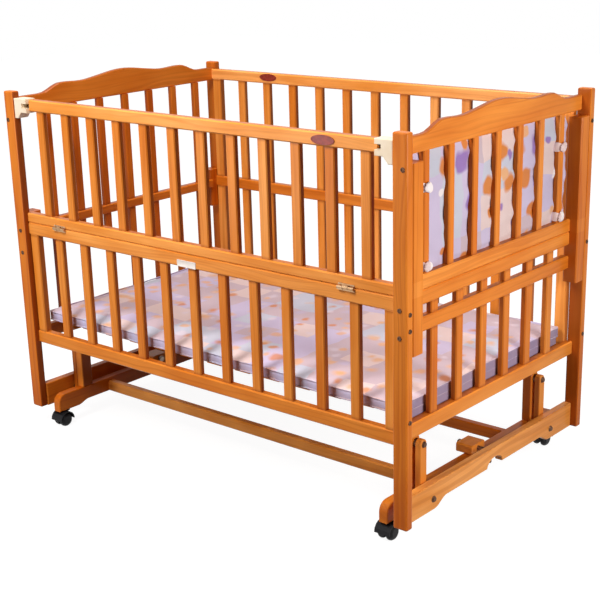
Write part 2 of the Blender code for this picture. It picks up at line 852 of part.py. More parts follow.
def make_upper_pivot(sign_x, sign_y, steel, base):
    """The bolt through the upright, with a collar behind the link and a head before it."""
    inner = foot_inner_x - touch_gap
    nut_end = inner - pivot_nut_height
    collar_start = foot_outer_x + touch_gap
    collar_end = link_inner_x - touch_gap
    head_start = link_outer_x + touch_gap
    head_end = head_start + pivot_head_height
    profile = [(nut_end, 0), (nut_end, pivot_nut_radius), (inner, pivot_nut_radius),
               (inner, pivot_radius), (collar_start, pivot_radius),
               (collar_start, pivot_collar_radius), (collar_end, pivot_collar_radius),
               (collar_end, pivot_radius), (head_start, pivot_radius),
               (head_start, pivot_head_radius), (head_end, pivot_head_radius * 2 / 3),
               (head_end, 0)]
    bolt = turned([(sign_x * along, radius) for along, radius in profile], 'X',
                  (0, sign_y * pivot_y, upper_pivot_z))
    finish("upper_pivot_" + corner_name(sign_x, sign_y), bolt, steel, base, math.radians(40))


def make_lower_pivot(sign_x, sign_y, steel, crib):
    """The bolt through the low board and the link, with a thin nut inside the link."""
    nut_end = link_inner_x - touch_gap
    nut_start = nut_end - pivot_nut_height
    collar_start = link_outer_x + touch_gap
    collar_end = low_board_inner_x - touch_gap
    head_start = low_board_outer_x + touch_gap
    head_end = head_start + pivot_head_height
    profile = [(nut_start, 0), (nut_start, pivot_nut_radius), (nut_end, pivot_nut_radius),
               (nut_end, pivot_radius), (collar_start, pivot_radius),
               (collar_start, pivot_collar_radius), (collar_end, pivot_collar_radius),
               (collar_end, pivot_radius), (head_start, pivot_radius),
               (head_start, pivot_head_radius), (head_end, pivot_head_radius * 2 / 3),
               (head_end, 0)]
    bolt = turned([(sign_x * along, radius) for along, radius in profile], 'X',
                  (0, sign_y * pivot_y, lower_pivot_z))
    finish("lower_pivot_" + corner_name(sign_x, sign_y), bolt, steel, crib, math.radians(40))


# Casters


def make_caster_hood(sign_x, sign_y, plastic, swivel):
    """The hood over a twin wheel: a shell, the web between the wheels, and the stem."""
    stem_y = sign_y * caster_y
    axle_y = stem_y - caster_trail
    inner = wheel_radius + hood_clearance
    outer = inner + hood_thickness
    half = wheel_gap / 2 + wheel_width
    arc = [math.pi * i / curve_steps for i in range(curve_steps + 1)]
    outline = [(axle_y + outer * math.cos(a), wheel_radius + outer * math.sin(a)) for a in arc]
    outline += [(axle_y + inner * math.cos(a), wheel_radius + inner * math.sin(a))
                for a in reversed(arc)]
    hood = bmesh.new()
    add_prism(hood, outline, 'X', sign_x * caster_x - half, sign_x * caster_x + half)
    reach = inner + hood_thickness / 2
    disc = rod('X', (sign_x * caster_x, axle_y, wheel_radius), -hood_web / 2, hood_web / 2,
               reach, wheel_steps)
    below = bmesh.new()
    low = wheel_radius - axle_radius - hood_thickness
    add_prism(below, [(axle_y - inner - hood_thickness * 2, low - inner),
                      (axle_y + inner + hood_thickness * 2, low - inner),
                      (axle_y + inner + hood_thickness * 2, low),
                      (axle_y - inner - hood_thickness * 2, low)], 'X',
              sign_x * caster_x - half, sign_x * caster_x + half)
    web = boolean(disc, below, 'DIFFERENCE')
    hood = boolean(hood, web, 'UNION')
    base = wheel_radius + inner
    top = caster_top - touch_gap
    profile = [(base - swivel_height, 0), (base - swivel_height, swivel_radius / 2),
               (top - swivel_height, swivel_radius), (top, swivel_radius), (top, stem_radius),
               (caster_top + stem_length - touch_gap, stem_radius),
               (caster_top + stem_length - touch_gap, 0)]
    hood = boolean(hood, turned(profile, 'Z', (sign_x * caster_x, stem_y, 0)), 'UNION')
    bore = rod('X', (sign_x * caster_x, axle_y, wheel_radius), -half, half,
               axle_radius + running_gap)
    hood = boolean(hood, bore, 'DIFFERENCE')
    finish("caster_hood_" + corner_name(sign_x, sign_y), hood, plastic, swivel)


def make_caster_wheels(sign_x, sign_y, plastic, axle):
    """Two wheels on one axle, each domed toward its outer face."""
    inner = wheel_gap / 2
    half_profile = [(inner, axle_radius)]
    half_profile += [(inner + wheel_width * along, wheel_radius * radius)
                     for along, radius in wheel_dome_shares]
    half_profile.append((inner + wheel_width, 0))
    profile = [(-along, radius) for along, radius in reversed(half_profile)] + half_profile
    place = (sign_x * caster_x, sign_y * caster_y - caster_trail, wheel_radius)
    wheels = turned(profile, 'X', place, wheel_steps)
    finish("caster_wheels_" + corner_name(sign_x, sign_y), wheels, plastic, axle, math.radians(40))


# Bed base, mattress and bumper


def make_bed_base(pine, crib):
    """Cross slats on two long battens, whose ends rest on the cleats of the ends."""
    half_x = end_rail_inner_x - bed_end_gap
    half_y = side_face_y - rail_thickness - bed_side_gap
    pitch = (2 * half_x - bed_slat_width) / (bed_slat_count - 1)
    slats = bmesh.new()
    for place in spread(bed_slat_count, pitch):
        add_bar(slats, 'Y', -half_y, half_y, place - bed_slat_width / 2,
                place + bed_slat_width / 2, bed_top - bed_slat_thickness, bed_top, board_ease)
    battens = bmesh.new()
    for sign in (-1, 1):
        outer = half_y - bed_batten_inset
        y_low, y_high = between(sign, outer - bed_batten_width, outer)
        half = half_x - flush_depth
        add_bar(battens, 'X', -half, half, y_low, y_high,
                bed_bottom, bed_bottom + bed_batten_height, board_ease)
    finish("bed_base", boolean(slats, battens, 'UNION'), pine, crib)


def with_round_edges(places, half, thickness):
    """The places across a pad, with the bends of its round edge added at both ends."""
    edge = [half - thickness / 2 * (1 - math.cos(math.pi / 2 * i / edge_steps))
            for i in range(edge_steps)]
    return [-place for place in edge] + places + edge[::-1]


def evenly(count, half):
    return [half * (2 * i / count - 1) for i in range(count + 1)]


def soft_pad(half_u, half_v, thickness, draw, places_u, places_v, dent, place):
    """A closed pad with crowned faces, round edges and sides drawn in between its corners.

    places_u and places_v are where the faces bend, dent gives how far the outer face
    sinks at u, and place puts (u, v, height) in the crib.
    """
    bm = bmesh.new()
    places_u = with_round_edges(places_u, half_u, thickness)
    places_v = with_round_edges(places_v, half_v, thickness)
    last_u = len(places_u) - 1
    last_v = len(places_v) - 1

    def point(u, v, side):
        share_u = u / half_u
        share_v = v / half_v
        rim = max(0.0, min(1.0, (half_u - abs(u)) * 2 / thickness, (half_v - abs(v)) * 2 / thickness))
        edge = math.sqrt(1 - (1 - rim) ** 2)
        crown = 1 - pad_crown_fall_share * (share_u ** 4 + share_v ** 4)
        sink = dent(u) if side > 0 else 0.0
        height = side * edge * (thickness / 2 * crown - sink)
        drawn_u = u - draw * (1 - share_v ** 2) * share_u ** 9
        drawn_v = v - draw * (1 - share_u ** 2) * share_v ** 9
        return bm.verts.new(place(drawn_u, drawn_v, height))

    rims = None
    for side in (1, -1):
        grid = []
        for i, u in enumerate(places_u):
            row = []
            for j, v in enumerate(places_v):
                on_rim = i in (0, last_u) or j in (0, last_v)
                row.append(rims[i][j] if rims and on_rim else point(u, v, side))
            grid.append(row)
        rims = rims or grid
        for i in range(last_u):
            for j in range(last_v):
                quad = (grid[i][j], grid[i + 1][j], grid[i + 1][j + 1], grid[i][j + 1])
                bm.faces.new(quad if side > 0 else quad[::-1])
    return bm


def make_mattress(fabric, crib):
    half_u = end_rail_inner_x - mattress_end_gap
    half_v = side_face_y - rail_thickness - mattress_side_gap
    middle = bed_top + touch_gap + mattress_thickness / 2
    places_u = evenly(mattress_steps[0], half_u - mattress_thickness / 2)
    places_v = evenly(mattress_steps[1], half_v - mattress_thickness / 2)

    def place(u, v, height):
        return (u, v, middle + height)

    bm = soft_pad(half_u, half_v, mattress_thickness, mattress_draw, places_u, places_v,
                  lambda u: 0.0, place)
    finish("mattress", bm, fabric, crib, math.radians(60))


def make_bumper(fabric, crib):
    """The padded bumper of the right end, which puffs out a little between the slats."""
    middle_z = waist_seam + waist_height + bumper_height / 2
    slat_inner = end_face_x - rail_thickness / 2 - slat_thickness / 2
    middle_x = slat_inner - touch_gap + bumper_bulge - bumper_thickness / 2
    half_flat = end_upper_slat_width / 2 + bumper_slat_margin
    bulge = end_upper_slat_pitch - 2 * half_flat
    slats = spread(end_upper_slat_count, end_upper_slat_pitch)
    half = side_face_y - rail_thickness - bumper_end_gap
    end = half - bumper_thickness / 2
    places_u = [-end]
    for slat in slats:
        places_u += [slat - half_flat, slat + half_flat]
        if slat != slats[-1]:
            places_u += [slat + half_flat + bulge * i / bumper_bulge_steps
                         for i in range(1, bumper_bulge_steps)]
    places_u.append(end)
    places_v = evenly(bumper_rows, bumper_height / 2 - bumper_thickness / 2)

    def dent(u):
        nearest = min(abs(u - slat) for slat in slats)
        return bumper_bulge * (1 - smooth_step((nearest - half_flat) * 2 / bulge))

    def place(u, v, height):
        return (middle_x + height, u, middle_z + v)

    bm = soft_pad(half, bumper_height / 2, bumper_thickness, bumper_draw,
                  places_u, places_v, dent, place)
    finish("end_bumper", bm, fabric, crib, math.radians(60))


def build():
    clear_scene()
    pine = make_material("varnished pine", pine_colour, 0.33)
    crest_pine = make_material("varnished pine crest", crest_colour, 0.33)
    steel = make_material("zinc plated steel", steel_colour, 0.35, 1.0)
    brass = make_material("brass hinge", brass_colour, 0.35, 1.0)
    plastic = make_material("catch plastic", catch_colour, 0.40)
    black = make_material("caster plastic", caster_colour, 0.42)
    fabric = make_material("cotton print", fabric_colour, 0.90)

    base = carrier("base", (0, 0, 0))
    links = {}
    for sign_x, sign_y in corners:
        corner = corner_name(sign_x, sign_y)
        pivot = (sign_x * link_inner_x, sign_y * pivot_y, upper_pivot_z)
        links[corner] = carrier("swing_axis_" + corner, pivot, base)
    crib = carrier("crib_axis", (-link_inner_x, -pivot_y, lower_pivot_z), links["front_left"])
    gate = carrier("gate_axis", (0, hinge_axis_y, waist_seam), crib)

    make_posts(pine, crib)
    make_lower_front_panel(pine, crib)
    make_rear_panel(pine, crib)
    make_gate(pine, gate)
    make_gate_pins(steel, gate)
    make_catches(plastic, crib)
    make_hinges(brass, crib, gate)
    for sign in ends:
        make_upper_end_frame(sign, pine, crib)
        make_lower_end_panel(sign, pine, crib)
        make_crest(sign, crest_pine, crib)
        make_low_board(sign, pine, crib)
        make_foot_board(sign, pine, base)
        make_stop_pin(sign, steel, base)
        slide = (sign * foot_inner_x, 0, lock_bolt_z)
        bolt_body = carrier("lock_axis_" + side_name(sign), slide, base)
        make_lock(sign, pine, steel, base, bolt_body)
    make_stretchers(pine, base)
    for sign_x, sign_y in corners:
        corner = corner_name(sign_x, sign_y)
        make_upright(sign_x, sign_y, pine, base)
        make_link(sign_x, sign_y, pine, links[corner])
        make_upper_pivot(sign_x, sign_y, steel, base)
        make_lower_pivot(sign_x, sign_y, steel, crib)
        stem = (sign_x * caster_x, sign_y * caster_y, wheel_radius)
        swivel = carrier("swivel_axis_" + corner, stem, base)
        axle_place = (stem[0], stem[1] - caster_trail, wheel_radius)
        axle = carrier("axle_" + corner, axle_place, swivel)
        make_caster_hood(sign_x, sign_y, black, swivel)
        make_caster_wheels(sign_x, sign_y, black, axle)
    make_bed_base(pine, crib)
    make_mattress(fabric, crib)
    make_bumper(fabric, crib)


build()
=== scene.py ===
# %% [markdown]
# # A varnished pine cradle crib
#
# The crib hangs by four short wooden links on an inner base with casters. All of its
# solid wood and metal comes in as a fixed frame, and this lesson dresses it: the camera
# and lights, the varnished wood, the quilted mattress and bumper, and the small
# fittings. Lengths are metres, +Z is up, +X is the end with the bumper and the front,
# with the folding gate, faces -Y.

# %% Load the frame
import math
import random

import bmesh
import bpy
from mathutils import Euler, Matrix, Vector


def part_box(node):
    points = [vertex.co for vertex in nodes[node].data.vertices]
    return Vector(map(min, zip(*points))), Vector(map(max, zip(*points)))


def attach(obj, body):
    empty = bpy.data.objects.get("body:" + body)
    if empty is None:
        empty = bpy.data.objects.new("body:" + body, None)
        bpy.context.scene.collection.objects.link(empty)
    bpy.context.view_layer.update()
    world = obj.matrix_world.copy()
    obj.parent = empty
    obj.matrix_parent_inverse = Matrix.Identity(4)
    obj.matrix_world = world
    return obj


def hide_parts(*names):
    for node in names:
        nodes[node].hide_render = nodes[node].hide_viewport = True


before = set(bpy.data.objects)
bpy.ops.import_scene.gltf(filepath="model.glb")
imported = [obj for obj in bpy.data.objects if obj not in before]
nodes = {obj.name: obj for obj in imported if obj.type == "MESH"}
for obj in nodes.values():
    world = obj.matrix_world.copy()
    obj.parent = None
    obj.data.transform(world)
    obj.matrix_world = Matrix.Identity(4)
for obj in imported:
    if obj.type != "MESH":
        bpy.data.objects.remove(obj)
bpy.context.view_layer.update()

# %% [markdown]
# ## Camera
#
# The photograph looks down at the crib from the right front, from well above the top
# rails. A long lens keeps the posts nearly parallel. The small shift stands for the way
# the photograph was cropped, and the slight roll for the way the camera was held.

# %% Camera
focal_share = 2.13993
sensor = 0.036
camera_data = bpy.data.cameras.new("photo camera")
camera_data.sensor_width = sensor * 1000
camera_data.lens = focal_share * sensor * 1000
camera_data.shift_x = 0.0131
camera_data.shift_y = 0.0602
camera_data.clip_end = 60
camera = bpy.data.objects.new("photo camera", camera_data)
bpy.context.collection.objects.link(camera)
camera.location = (1.7170, -1.9783, 1.0892)
camera.rotation_euler = Euler((math.radians(71.7272), math.radians(1.5570), math.radians(40.5696)))
bpy.context.scene.camera = camera
print("lens", round(camera_data.lens, 2), "mm")

# %% [markdown]
# ## Node helpers
#
# Every finish here is built from shader nodes. A small class keeps the recipes readable:
# it holds one material, and each of its short methods adds a node and fills in its
# values, does a sum, or reads where a point lies and which way its surface faces.

# %% Node helpers
class Finish:
    """A material with short ways to add nodes to it."""

    def __init__(self, name):
        self.material = bpy.data.materials.new(name)
        self.material.use_nodes = True
        self.tree = self.material.node_tree
        self.shader = self.tree.nodes["Principled BSDF"]

    def set(self, **values):
        """Fills in inputs of the shader, with a value or with the output of a node."""
        for name, value in values.items():
            self.feed(value, self.shader.inputs[name.replace("_", " ")])

    def feed(self, source, socket):
        if isinstance(source, (int, float, tuple)):
            socket.default_value = source
        else:
            self.tree.links.new(source, socket)

    def add(self, kind, inputs=None, **settings):
        node = self.tree.nodes.new(kind)
        for name, value in settings.items():
            setattr(node, name, value)
        for name, value in (inputs or {}).items():
            self.feed(value, node.inputs[name])
        return node

    def math(self, operation, first, second=0.0, third=0.0):
        node = self.add("ShaderNodeMath", {0: first, 1: second, 2: third}, operation=operation)
        return node.outputs[0]

    def times(self, first, second):
        return self.math('MULTIPLY', first, second)

    def times_add(self, first, second, third):
        return self.math('MULTIPLY_ADD', first, second, third)

    def mix(self, share, first, second):
        node = self.add("ShaderNodeMix", {0: share, 2: first, 3: second}, data_type='FLOAT')
        return node.outputs[0]

    def blend(self, share, first, second, blend_type='MIX'):
        node = self.add("ShaderNodeMix", {0: share, 6: first, 7: second},
                        data_type='RGBA', blend_type=blend_type)
        return node.outputs[2]

    def place(self):
        """The x, y and z of the point, in the crib's own coordinates."""
        where = self.add("ShaderNodeTexCoord").outputs["Object"]
        return self.add("ShaderNodeSeparateXYZ", {0: where}).outputs

    def facing(self):
        """How far the surface faces along x, y and z, in the crib's own directions."""
        where = self.add("ShaderNodeTexCoord").outputs["Normal"]
        return self.add("ShaderNodeSeparateXYZ", {0: where}).outputs

    def point(self, x, y, z):
        return self.add("ShaderNodeCombineXYZ", {0: x, 1: y, 2: z}).outputs[0]

    def noise(self, where, scale, detail, roughness=0.5):
        node = self.add("ShaderNodeTexNoise", {"Vector": where, "Scale": scale, "Detail": detail,
                                               "Roughness": roughness})
        return node.outputs[0]

    def ramp(self, value, stops, interpolation='LINEAR'):
        node = self.add("ShaderNodeValToRGB", {0: value})
        node.color_ramp.interpolation = interpolation
        elements = node.color_ramp.elements
        while len(elements) < len(stops):
            elements.new(0.5)
        for element, (position, colour) in zip(elements, stops):
            element.position = position
            element.color = colour
        return node.outputs[0]

    def between(self, value, low, high):
        """One where the value lies between low and high, and zero elsewhere."""
        above = self.math('GREATER_THAN', value, low)
        below = self.math('LESS_THAN', value, high)
        return self.times(above, below)

    def rising(self, value, low, high, most=1.0, least=0.0):
        """Runs evenly from least at low to most at high, and stays there beyond."""
        node = self.add("ShaderNodeMapRange", {"Value": value, "From Min": low, "From Max": high,
                                               "To Min": least, "To Max": most})
        return node.outputs["Result"]

    def bump(self, height, strength, distance):
        node = self.add("ShaderNodeBump", {"Height": height, "Strength": strength,
                                           "Distance": distance})
        self.tree.links.new(node.outputs[0], self.shader.inputs["Normal"])


print("helpers ready")

# %% [markdown]
# ## Room and light
#
# The crib stands on a plain white floor that runs on into a white backdrop, as in a product
# picture. The white is in the floor and the world, and only the camera and reflections
# see it, so it adds no light to the crib. The floor's own lit colour lies on top, which
# keeps a faint shadow near the crib. The main lamp hangs high in front of the crib, so
# the upper rails are bright and the light falls off towards the feet. A larger one above
# lights the tops, a weak one low in front fills the shade, and one at the right lights
# the end. The room adds only a faint red glow, like light that bounces between varnished
# slats, so the gaps between them stay deep and red.

# %% Deselect helper
def deselect():
    for item in bpy.context.selected_objects:
        item.select_set(False)


deselect()
print("nothing selected")

# %% Floor
bpy.ops.mesh.primitive_plane_add(size=14)
floor = bpy.context.active_object
floor.name = "floor"
paint = Finish("floor paint")
paint.set(Base_Color=(0.16, 0.16, 0.16, 1), Roughness=0.9, Specular_IOR_Level=0.05,
          Emission_Color=(1, 1, 1, 1))
floor.data.materials.append(paint.material)
print("floor", [round(side, 2) for side in floor.dimensions])

# %% White of the floor
def seen_rays(tree):
    """One for the rays that show a surface: from the camera, a mirror or a glass."""
    rays = tree.nodes.new("ShaderNodeLightPath")
    seen = rays.outputs["Is Camera Ray"]
    for kind in ("Is Glossy Ray", "Is Transmission Ray"):
        most = tree.nodes.new("ShaderNodeMath")
        most.operation = 'MAXIMUM'
        tree.links.new(seen, most.inputs[0])
        tree.links.new(rays.outputs[kind], most.inputs[1])
        seen = most.outputs[0]
    return seen


fade_start, fade_end = 0.8, 2.4
where = paint.add("ShaderNodeTexCoord").outputs["Object"]
away = paint.add("ShaderNodeVectorMath", {0: where}, operation='LENGTH').outputs["Value"]
fade = paint.rising(away, fade_start, fade_end, least=0.94)
paint.set(Emission_Strength=paint.times(fade, seen_rays(paint.tree)))
print("floor fades to white from", fade_start, "to", fade_end, "m")

# %% World
world = bpy.data.worlds.new("studio")
bpy.context.scene.world = world
world.use_nodes = True
sky = world.node_tree.nodes["Background"]
glow = world.node_tree.nodes.new("ShaderNodeMix")
glow.data_type = 'RGBA'
glow.inputs[6].default_value = (0.075, 0.030, 0.014, 1)
glow.inputs[7].default_value = (1.0, 1.0, 1.0, 1)
world.node_tree.links.new(seen_rays(world.node_tree), glow.inputs[0])
world.node_tree.links.new(glow.outputs[2], sky.inputs["Color"])
sky.inputs["Strength"].default_value = 1.0
print("world", world.name)

# %% Lamps
def lamp(name, place, target, size, power, colour):
    """A soft square lamp at a place, turned to its target."""
    data = bpy.data.lights.new(name, 'AREA')
    data.shape = 'SQUARE'
    data.size = size
    data.energy = power
    data.color = colour
    item = bpy.data.objects.new(name, data)
    bpy.context.collection.objects.link(item)
    item.location = place
    aim = Vector(target) - Vector(place)
    item.rotation_euler = aim.to_track_quat('-Z', 'Y').to_euler()


lamp("key", (0.0, -1.4, 1.85), (0, -0.25, 0.40), 0.55, 32, (1.0, 0.96, 0.92))
lamp("front fill", (-0.8, -1.5, 0.40), (-0.2, -0.25, 0.20), 0.5, 6, (0.98, 0.97, 1.0))
lamp("side", (1.45, -0.15, 0.70), (0.5, 0, 0.36), 0.5, 11, (1.0, 0.95, 0.90))
lamp("top", (-0.2, 0.1, 2.6), (0, 0, 0.4), 1.0, 34, (1.0, 0.97, 0.94))
bpy.context.scene.view_settings.view_transform = 'Standard'
print("four lamps")

# %% [markdown]
# ## Varnished pine
#
# Pine has pale early wood and darker late wood, in bands a few millimetres apart that
# run along each piece, with finer streaks in them. The honey varnish colours it orange
# and gives it a clear gloss, and it gathers a little darker where a slat meets a rail.
# A panel is one mesh with rails one way and slats the other, so its finish asks where a
# point lies: within the height of a rail the grain runs along the rail, and elsewhere
# it runs up the slat. Each slat and rail gets its own tone from its number. The narrow
# sides of the slats and the top faces of the crests are painted darker than the broad
# faces, as painted shade.

# %% Pine finish
early_wood = (0.90, 0.345, 0.062, 1)
late_wood = (0.45, 0.090, 0.005, 1)
honey_wood = (0.74, 0.228, 0.022, 1)
# The dark varnish colour stands both for varnish gathered at joints and for painted shade on faces that lie
# in shade.
varnish_and_shade_colour = (0.24, 0.040, 0.004, 1)


def pine(finish, along, across, depth, seed, varnish_and_shade=None, tone=0.0):
    """Colours a finish as pine, with the grain running with along."""
    drift = finish.times(seed, 3.71)
    start = finish.math('ADD', along, drift)
    side = finish.math('ADD', across, drift)
    slow = finish.noise(finish.point(finish.times(start, 1.4), finish.times(side, 7.0),
                                     finish.times(depth, 7.0)), 2.2, 2.0)
    ring_place = finish.times_add(slow, 0.045, finish.times_add(depth, 0.6, side))
    rings = finish.noise(finish.point(finish.times(start, 0.8), finish.times(ring_place, 150.0),
                                      drift), 1.0, 2.0, 0.6)
    rings = finish.add("ShaderNodeMapRange", {"Value": rings, "From Min": 0.44, "From Max": 0.68},
                       interpolation_type='SMOOTHSTEP').outputs["Result"]
    streaks = finish.noise(finish.point(finish.times(start, 7.0), finish.times(side, 520.0),
                                        finish.times(depth, 520.0)), 1.0, 3.0, 0.6)
    patches = finish.noise(finish.point(finish.times(start, 3.4), finish.times(side, 16.0),
                                        depth), 1.7, 2.0)
    base = finish.ramp(patches, [(0.32, honey_wood), (0.70, early_wood)])
    colour = finish.blend(finish.times(rings, 0.30), base, late_wood)
    streak_share = finish.times(finish.math('SUBTRACT', streaks, 0.5), 0.7)
    streak_share = finish.add("ShaderNodeClamp", {0: streak_share}).outputs[0]
    colour = finish.blend(streak_share, colour, late_wood)
    own = finish.add("ShaderNodeTexWhiteNoise", {"W": seed}, noise_dimensions='1D').outputs[0]
    level = finish.times_add(own, 0.20, finish.math('ADD', tone, 0.90))
    tint = finish.point(finish.math('POWER', level, 0.7), finish.math('POWER', level, 1.6),
                        finish.math('POWER', level, 4.0))
    colour = finish.blend(1.0, colour, tint, 'MULTIPLY')
    # Blends towards the dark varnish colour: darker varnish at joints, and painted shade on shaded faces.
    if varnish_and_shade is not None:
        colour = finish.blend(varnish_and_shade, colour, varnish_and_shade_colour)
    gloss = finish.times_add(patches, 0.12, 0.26)
    gloss = finish.times_add(streaks, 0.08, gloss)
    height = finish.times_add(streaks, 0.6, finish.times(rings, 0.4))
    finish.bump(height, 0.10, 0.0006)
    finish.set(Base_Color=colour, Roughness=gloss, Specular_IOR_Level=0.12, Coat_Weight=0.04,
               Coat_Roughness=0.15, IOR=1.5)


print("pine ready")

# %% Pine for single planks
def plank_pine(name, axis, number, tone=0.0, painted_shade_face=None, painted_floor_shade=0.0):
    """Pine for a piece whose grain runs along one axis. number sets its own figure.

    The last two arguments are painted shade: the (direction, sign, share) of a face
    that is painted darker, and how much darker the piece is painted towards the floor.
    """
    finish = Finish(name)
    x, y, z = finish.place()
    along, across, depth = {'X': (x, z, y), 'Y': (y, z, x), 'Z': (z, x, y)}[axis]
    varnish_and_shade = None
    # Painted shade: the face that lies in shade is darkened towards the dark varnish colour.
    if painted_shade_face is not None:
        direction, sign, share = painted_shade_face
        toward = finish.times(finish.facing()[direction], sign)
        varnish_and_shade = finish.rising(toward, 0.40, 0.88, share)
    # Painted shade: the piece is painted darker towards the floor, where the light falls off.
    if painted_floor_shade:
        tone = finish.math('SUBTRACT', tone + painted_floor_shade, finish.rising(z, 0.06, 0.42, painted_floor_shade))
    pine(finish, along, across, depth, number + 0.5, varnish_and_shade, tone)
    return finish.material


print("pine for planks")

# %% Pine for panels of rails and slats
first_rail_seed, rail_seed_step = 45.0, 7.0


def panel_pine(name, rail_axis, rails, pitch, shift, reach=None, tone=0.0):
    """Pine for a panel. rails lists the bottom, top and tone of each of its rails.

    The slats are pitch apart, and shift moves their numbers by a share of it. Past
    reach from the middle there are only stiles, where the grain never turns.
    """
    finish = Finish(name)
    x, y, z = finish.place()
    run, depth = (x, y) if rail_axis == 'X' else (y, x)
    on_rail = 0.0
    rail = 0.0
    level = tone
    for number, (bottom, top, rail_tone) in enumerate(rails):
        here = finish.between(z, bottom, top)
        on_rail = finish.math('MAXIMUM', on_rail, here)
        level = finish.times_add(here, rail_tone - tone, level)
        rail = finish.times_add(here, first_rail_seed + rail_seed_step * number, rail)
    inside = 1.0
    if reach is not None:
        inside = finish.math('LESS_THAN', finish.math('ABSOLUTE', run), reach)
        on_rail = finish.times(on_rail, inside)
    slat = finish.math('FLOOR', finish.math('ADD', finish.math('DIVIDE', run, pitch), shift))
    along = finish.mix(on_rail, z, run)
    across = finish.mix(on_rail, run, z)
    seed = finish.mix(on_rail, slat, rail)
    nearest = 1.0
    for bottom, top, _ in rails:
        for edge in (bottom, top):
            gap = finish.math('ABSOLUTE', finish.math('SUBTRACT', z, edge))
            nearest = finish.math('MINIMUM', nearest, gap)
    varnish_and_shade = finish.times(finish.rising(nearest, 0.0, 0.006, most=0.0, least=0.55), inside)
    # Painted shade: the narrow sides of the slats are darkened towards the dark varnish colour, as if in the
    # shade between the slats.
    sides = finish.math('ABSOLUTE', finish.facing()[0 if rail_axis == 'X' else 1])
    varnish_and_shade = finish.math('MAXIMUM', varnish_and_shade, finish.rising(sides, 0.5, 0.95, 0.62))
    off_rail = finish.math('SUBTRACT', 1.0, on_rail)
    varnish_and_shade = finish.times(varnish_and_shade, off_rail)
    pine(finish, along, across, depth, seed, varnish_and_shade, level)
    return finish.material


print("pine for panels")

# %% [markdown]
# ## Wood on the frame's own pieces
#
# The solids of the frame are already true to the crib, so they keep their shape and get
# the finish that fits the way each one was cut. The heights of the rails are read from
# the frame where they can be, so that the grain turns exactly at each joint. Each rail
# has a tone of its own, partly the wood's and partly painted light: the top rails are
# painted the palest, as the light falls most on them, and the left end is painted the
# darkest, as painted shade. The rear stretcher and some faces of the posts, uprights
# and links are painted darker as shade too.

# %% Put pine on the long panels
def dress(node, material):
    """Gives a piece of the frame its material."""
    mesh = nodes[node].data
    mesh.materials.clear()
    mesh.materials.append(material)


low, waist = [corner[2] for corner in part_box("front_lower_panel")]
seam, gate_top = [corner[2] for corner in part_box("front_gate")]
rear_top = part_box("rear_panel")[1][2]
bottom_rail, waist_rail, seam_rail, top_rail = 0.028, 0.0267, 0.0205, 0.024
side_pitch, gate_pitch = 0.0794, 0.0772
# The rail tones are partly painted light: the top rails are painted palest and the bottom rails darker, as if
# lit from above.
front_rails = [(low, low + bottom_rail, -0.15), (waist - waist_rail, waist, 0.12)]
gate_rails = [(seam, seam + seam_rail, 0.08), (gate_top - top_rail, gate_top, 0.26)]
rear_rails = [(low, low + bottom_rail, -0.08), (0.449, 0.474, -0.12), (rear_top - top_rail, rear_top, 0.24)]
dress("front_lower_panel", panel_pine("pine front panel", 'X', front_rails, side_pitch, 0.5, tone=-0.05))
dress("front_gate", panel_pine("pine gate", 'X', gate_rails, gate_pitch, 0.0, tone=-0.02))
dress("rear_panel", panel_pine("pine rear panel", 'X', rear_rails, side_pitch, 0.5, tone=0.06))
print("long panels dressed, seam at", round(seam, 4))

# %% Put pine on the end panels
end_pitch, low_end_pitch = 0.0755, 0.080
between_stiles = 0.2647
end_rail_low, end_rail_top = 0.203, 0.232
# The left end is painted darker, as painted shade.
upper_end = {"right": ([(0.4695, 0.4962, -0.02)], -0.12), "left": ([(0.4475, 0.4675, -0.28)], -0.32)}
lower_end = {"right": [(end_rail_low, end_rail_top, -0.03), (0.3935, 0.4205, -0.12), (0.4425, 0.4692, -0.04)],
             "left": [(end_rail_low, end_rail_top, -0.12)]}
for end, (rails, tone) in upper_end.items():
    dress("upper_end_frame_" + end, panel_pine("pine upper end " + end, 'Y', rails, end_pitch, 0.5,
                                               reach=between_stiles, tone=tone))
for end, rails in lower_end.items():
    dress("lower_end_panel_" + end, panel_pine("pine lower end " + end, 'Y', rails, low_end_pitch, 0.0,
                                               tone=-0.12))
print("end panels dressed")

# %% Put pine on the planks
# The left pieces are painted darker than the right ones, as painted shade.
plank_tones = {"crest_rail_left": -0.26, "crest_rail_right": -0.02, "low_board_right": 0.13,
               "low_board_left": -0.28, "foot_board_right": -0.26, "foot_board_left": -0.28}
post_tones = {"right": -0.23, "left": -0.32}
upright_tone = -0.06
link_tones = {"right": -0.06, "left": -0.22}
# Painted shade: the inner +X faces at the front left and the -Y faces at the rear right are painted darker.
painted_shade_sides = {"front_left": (0, 1.0, 0.85), "rear_right": (1, -1.0, 0.7)}
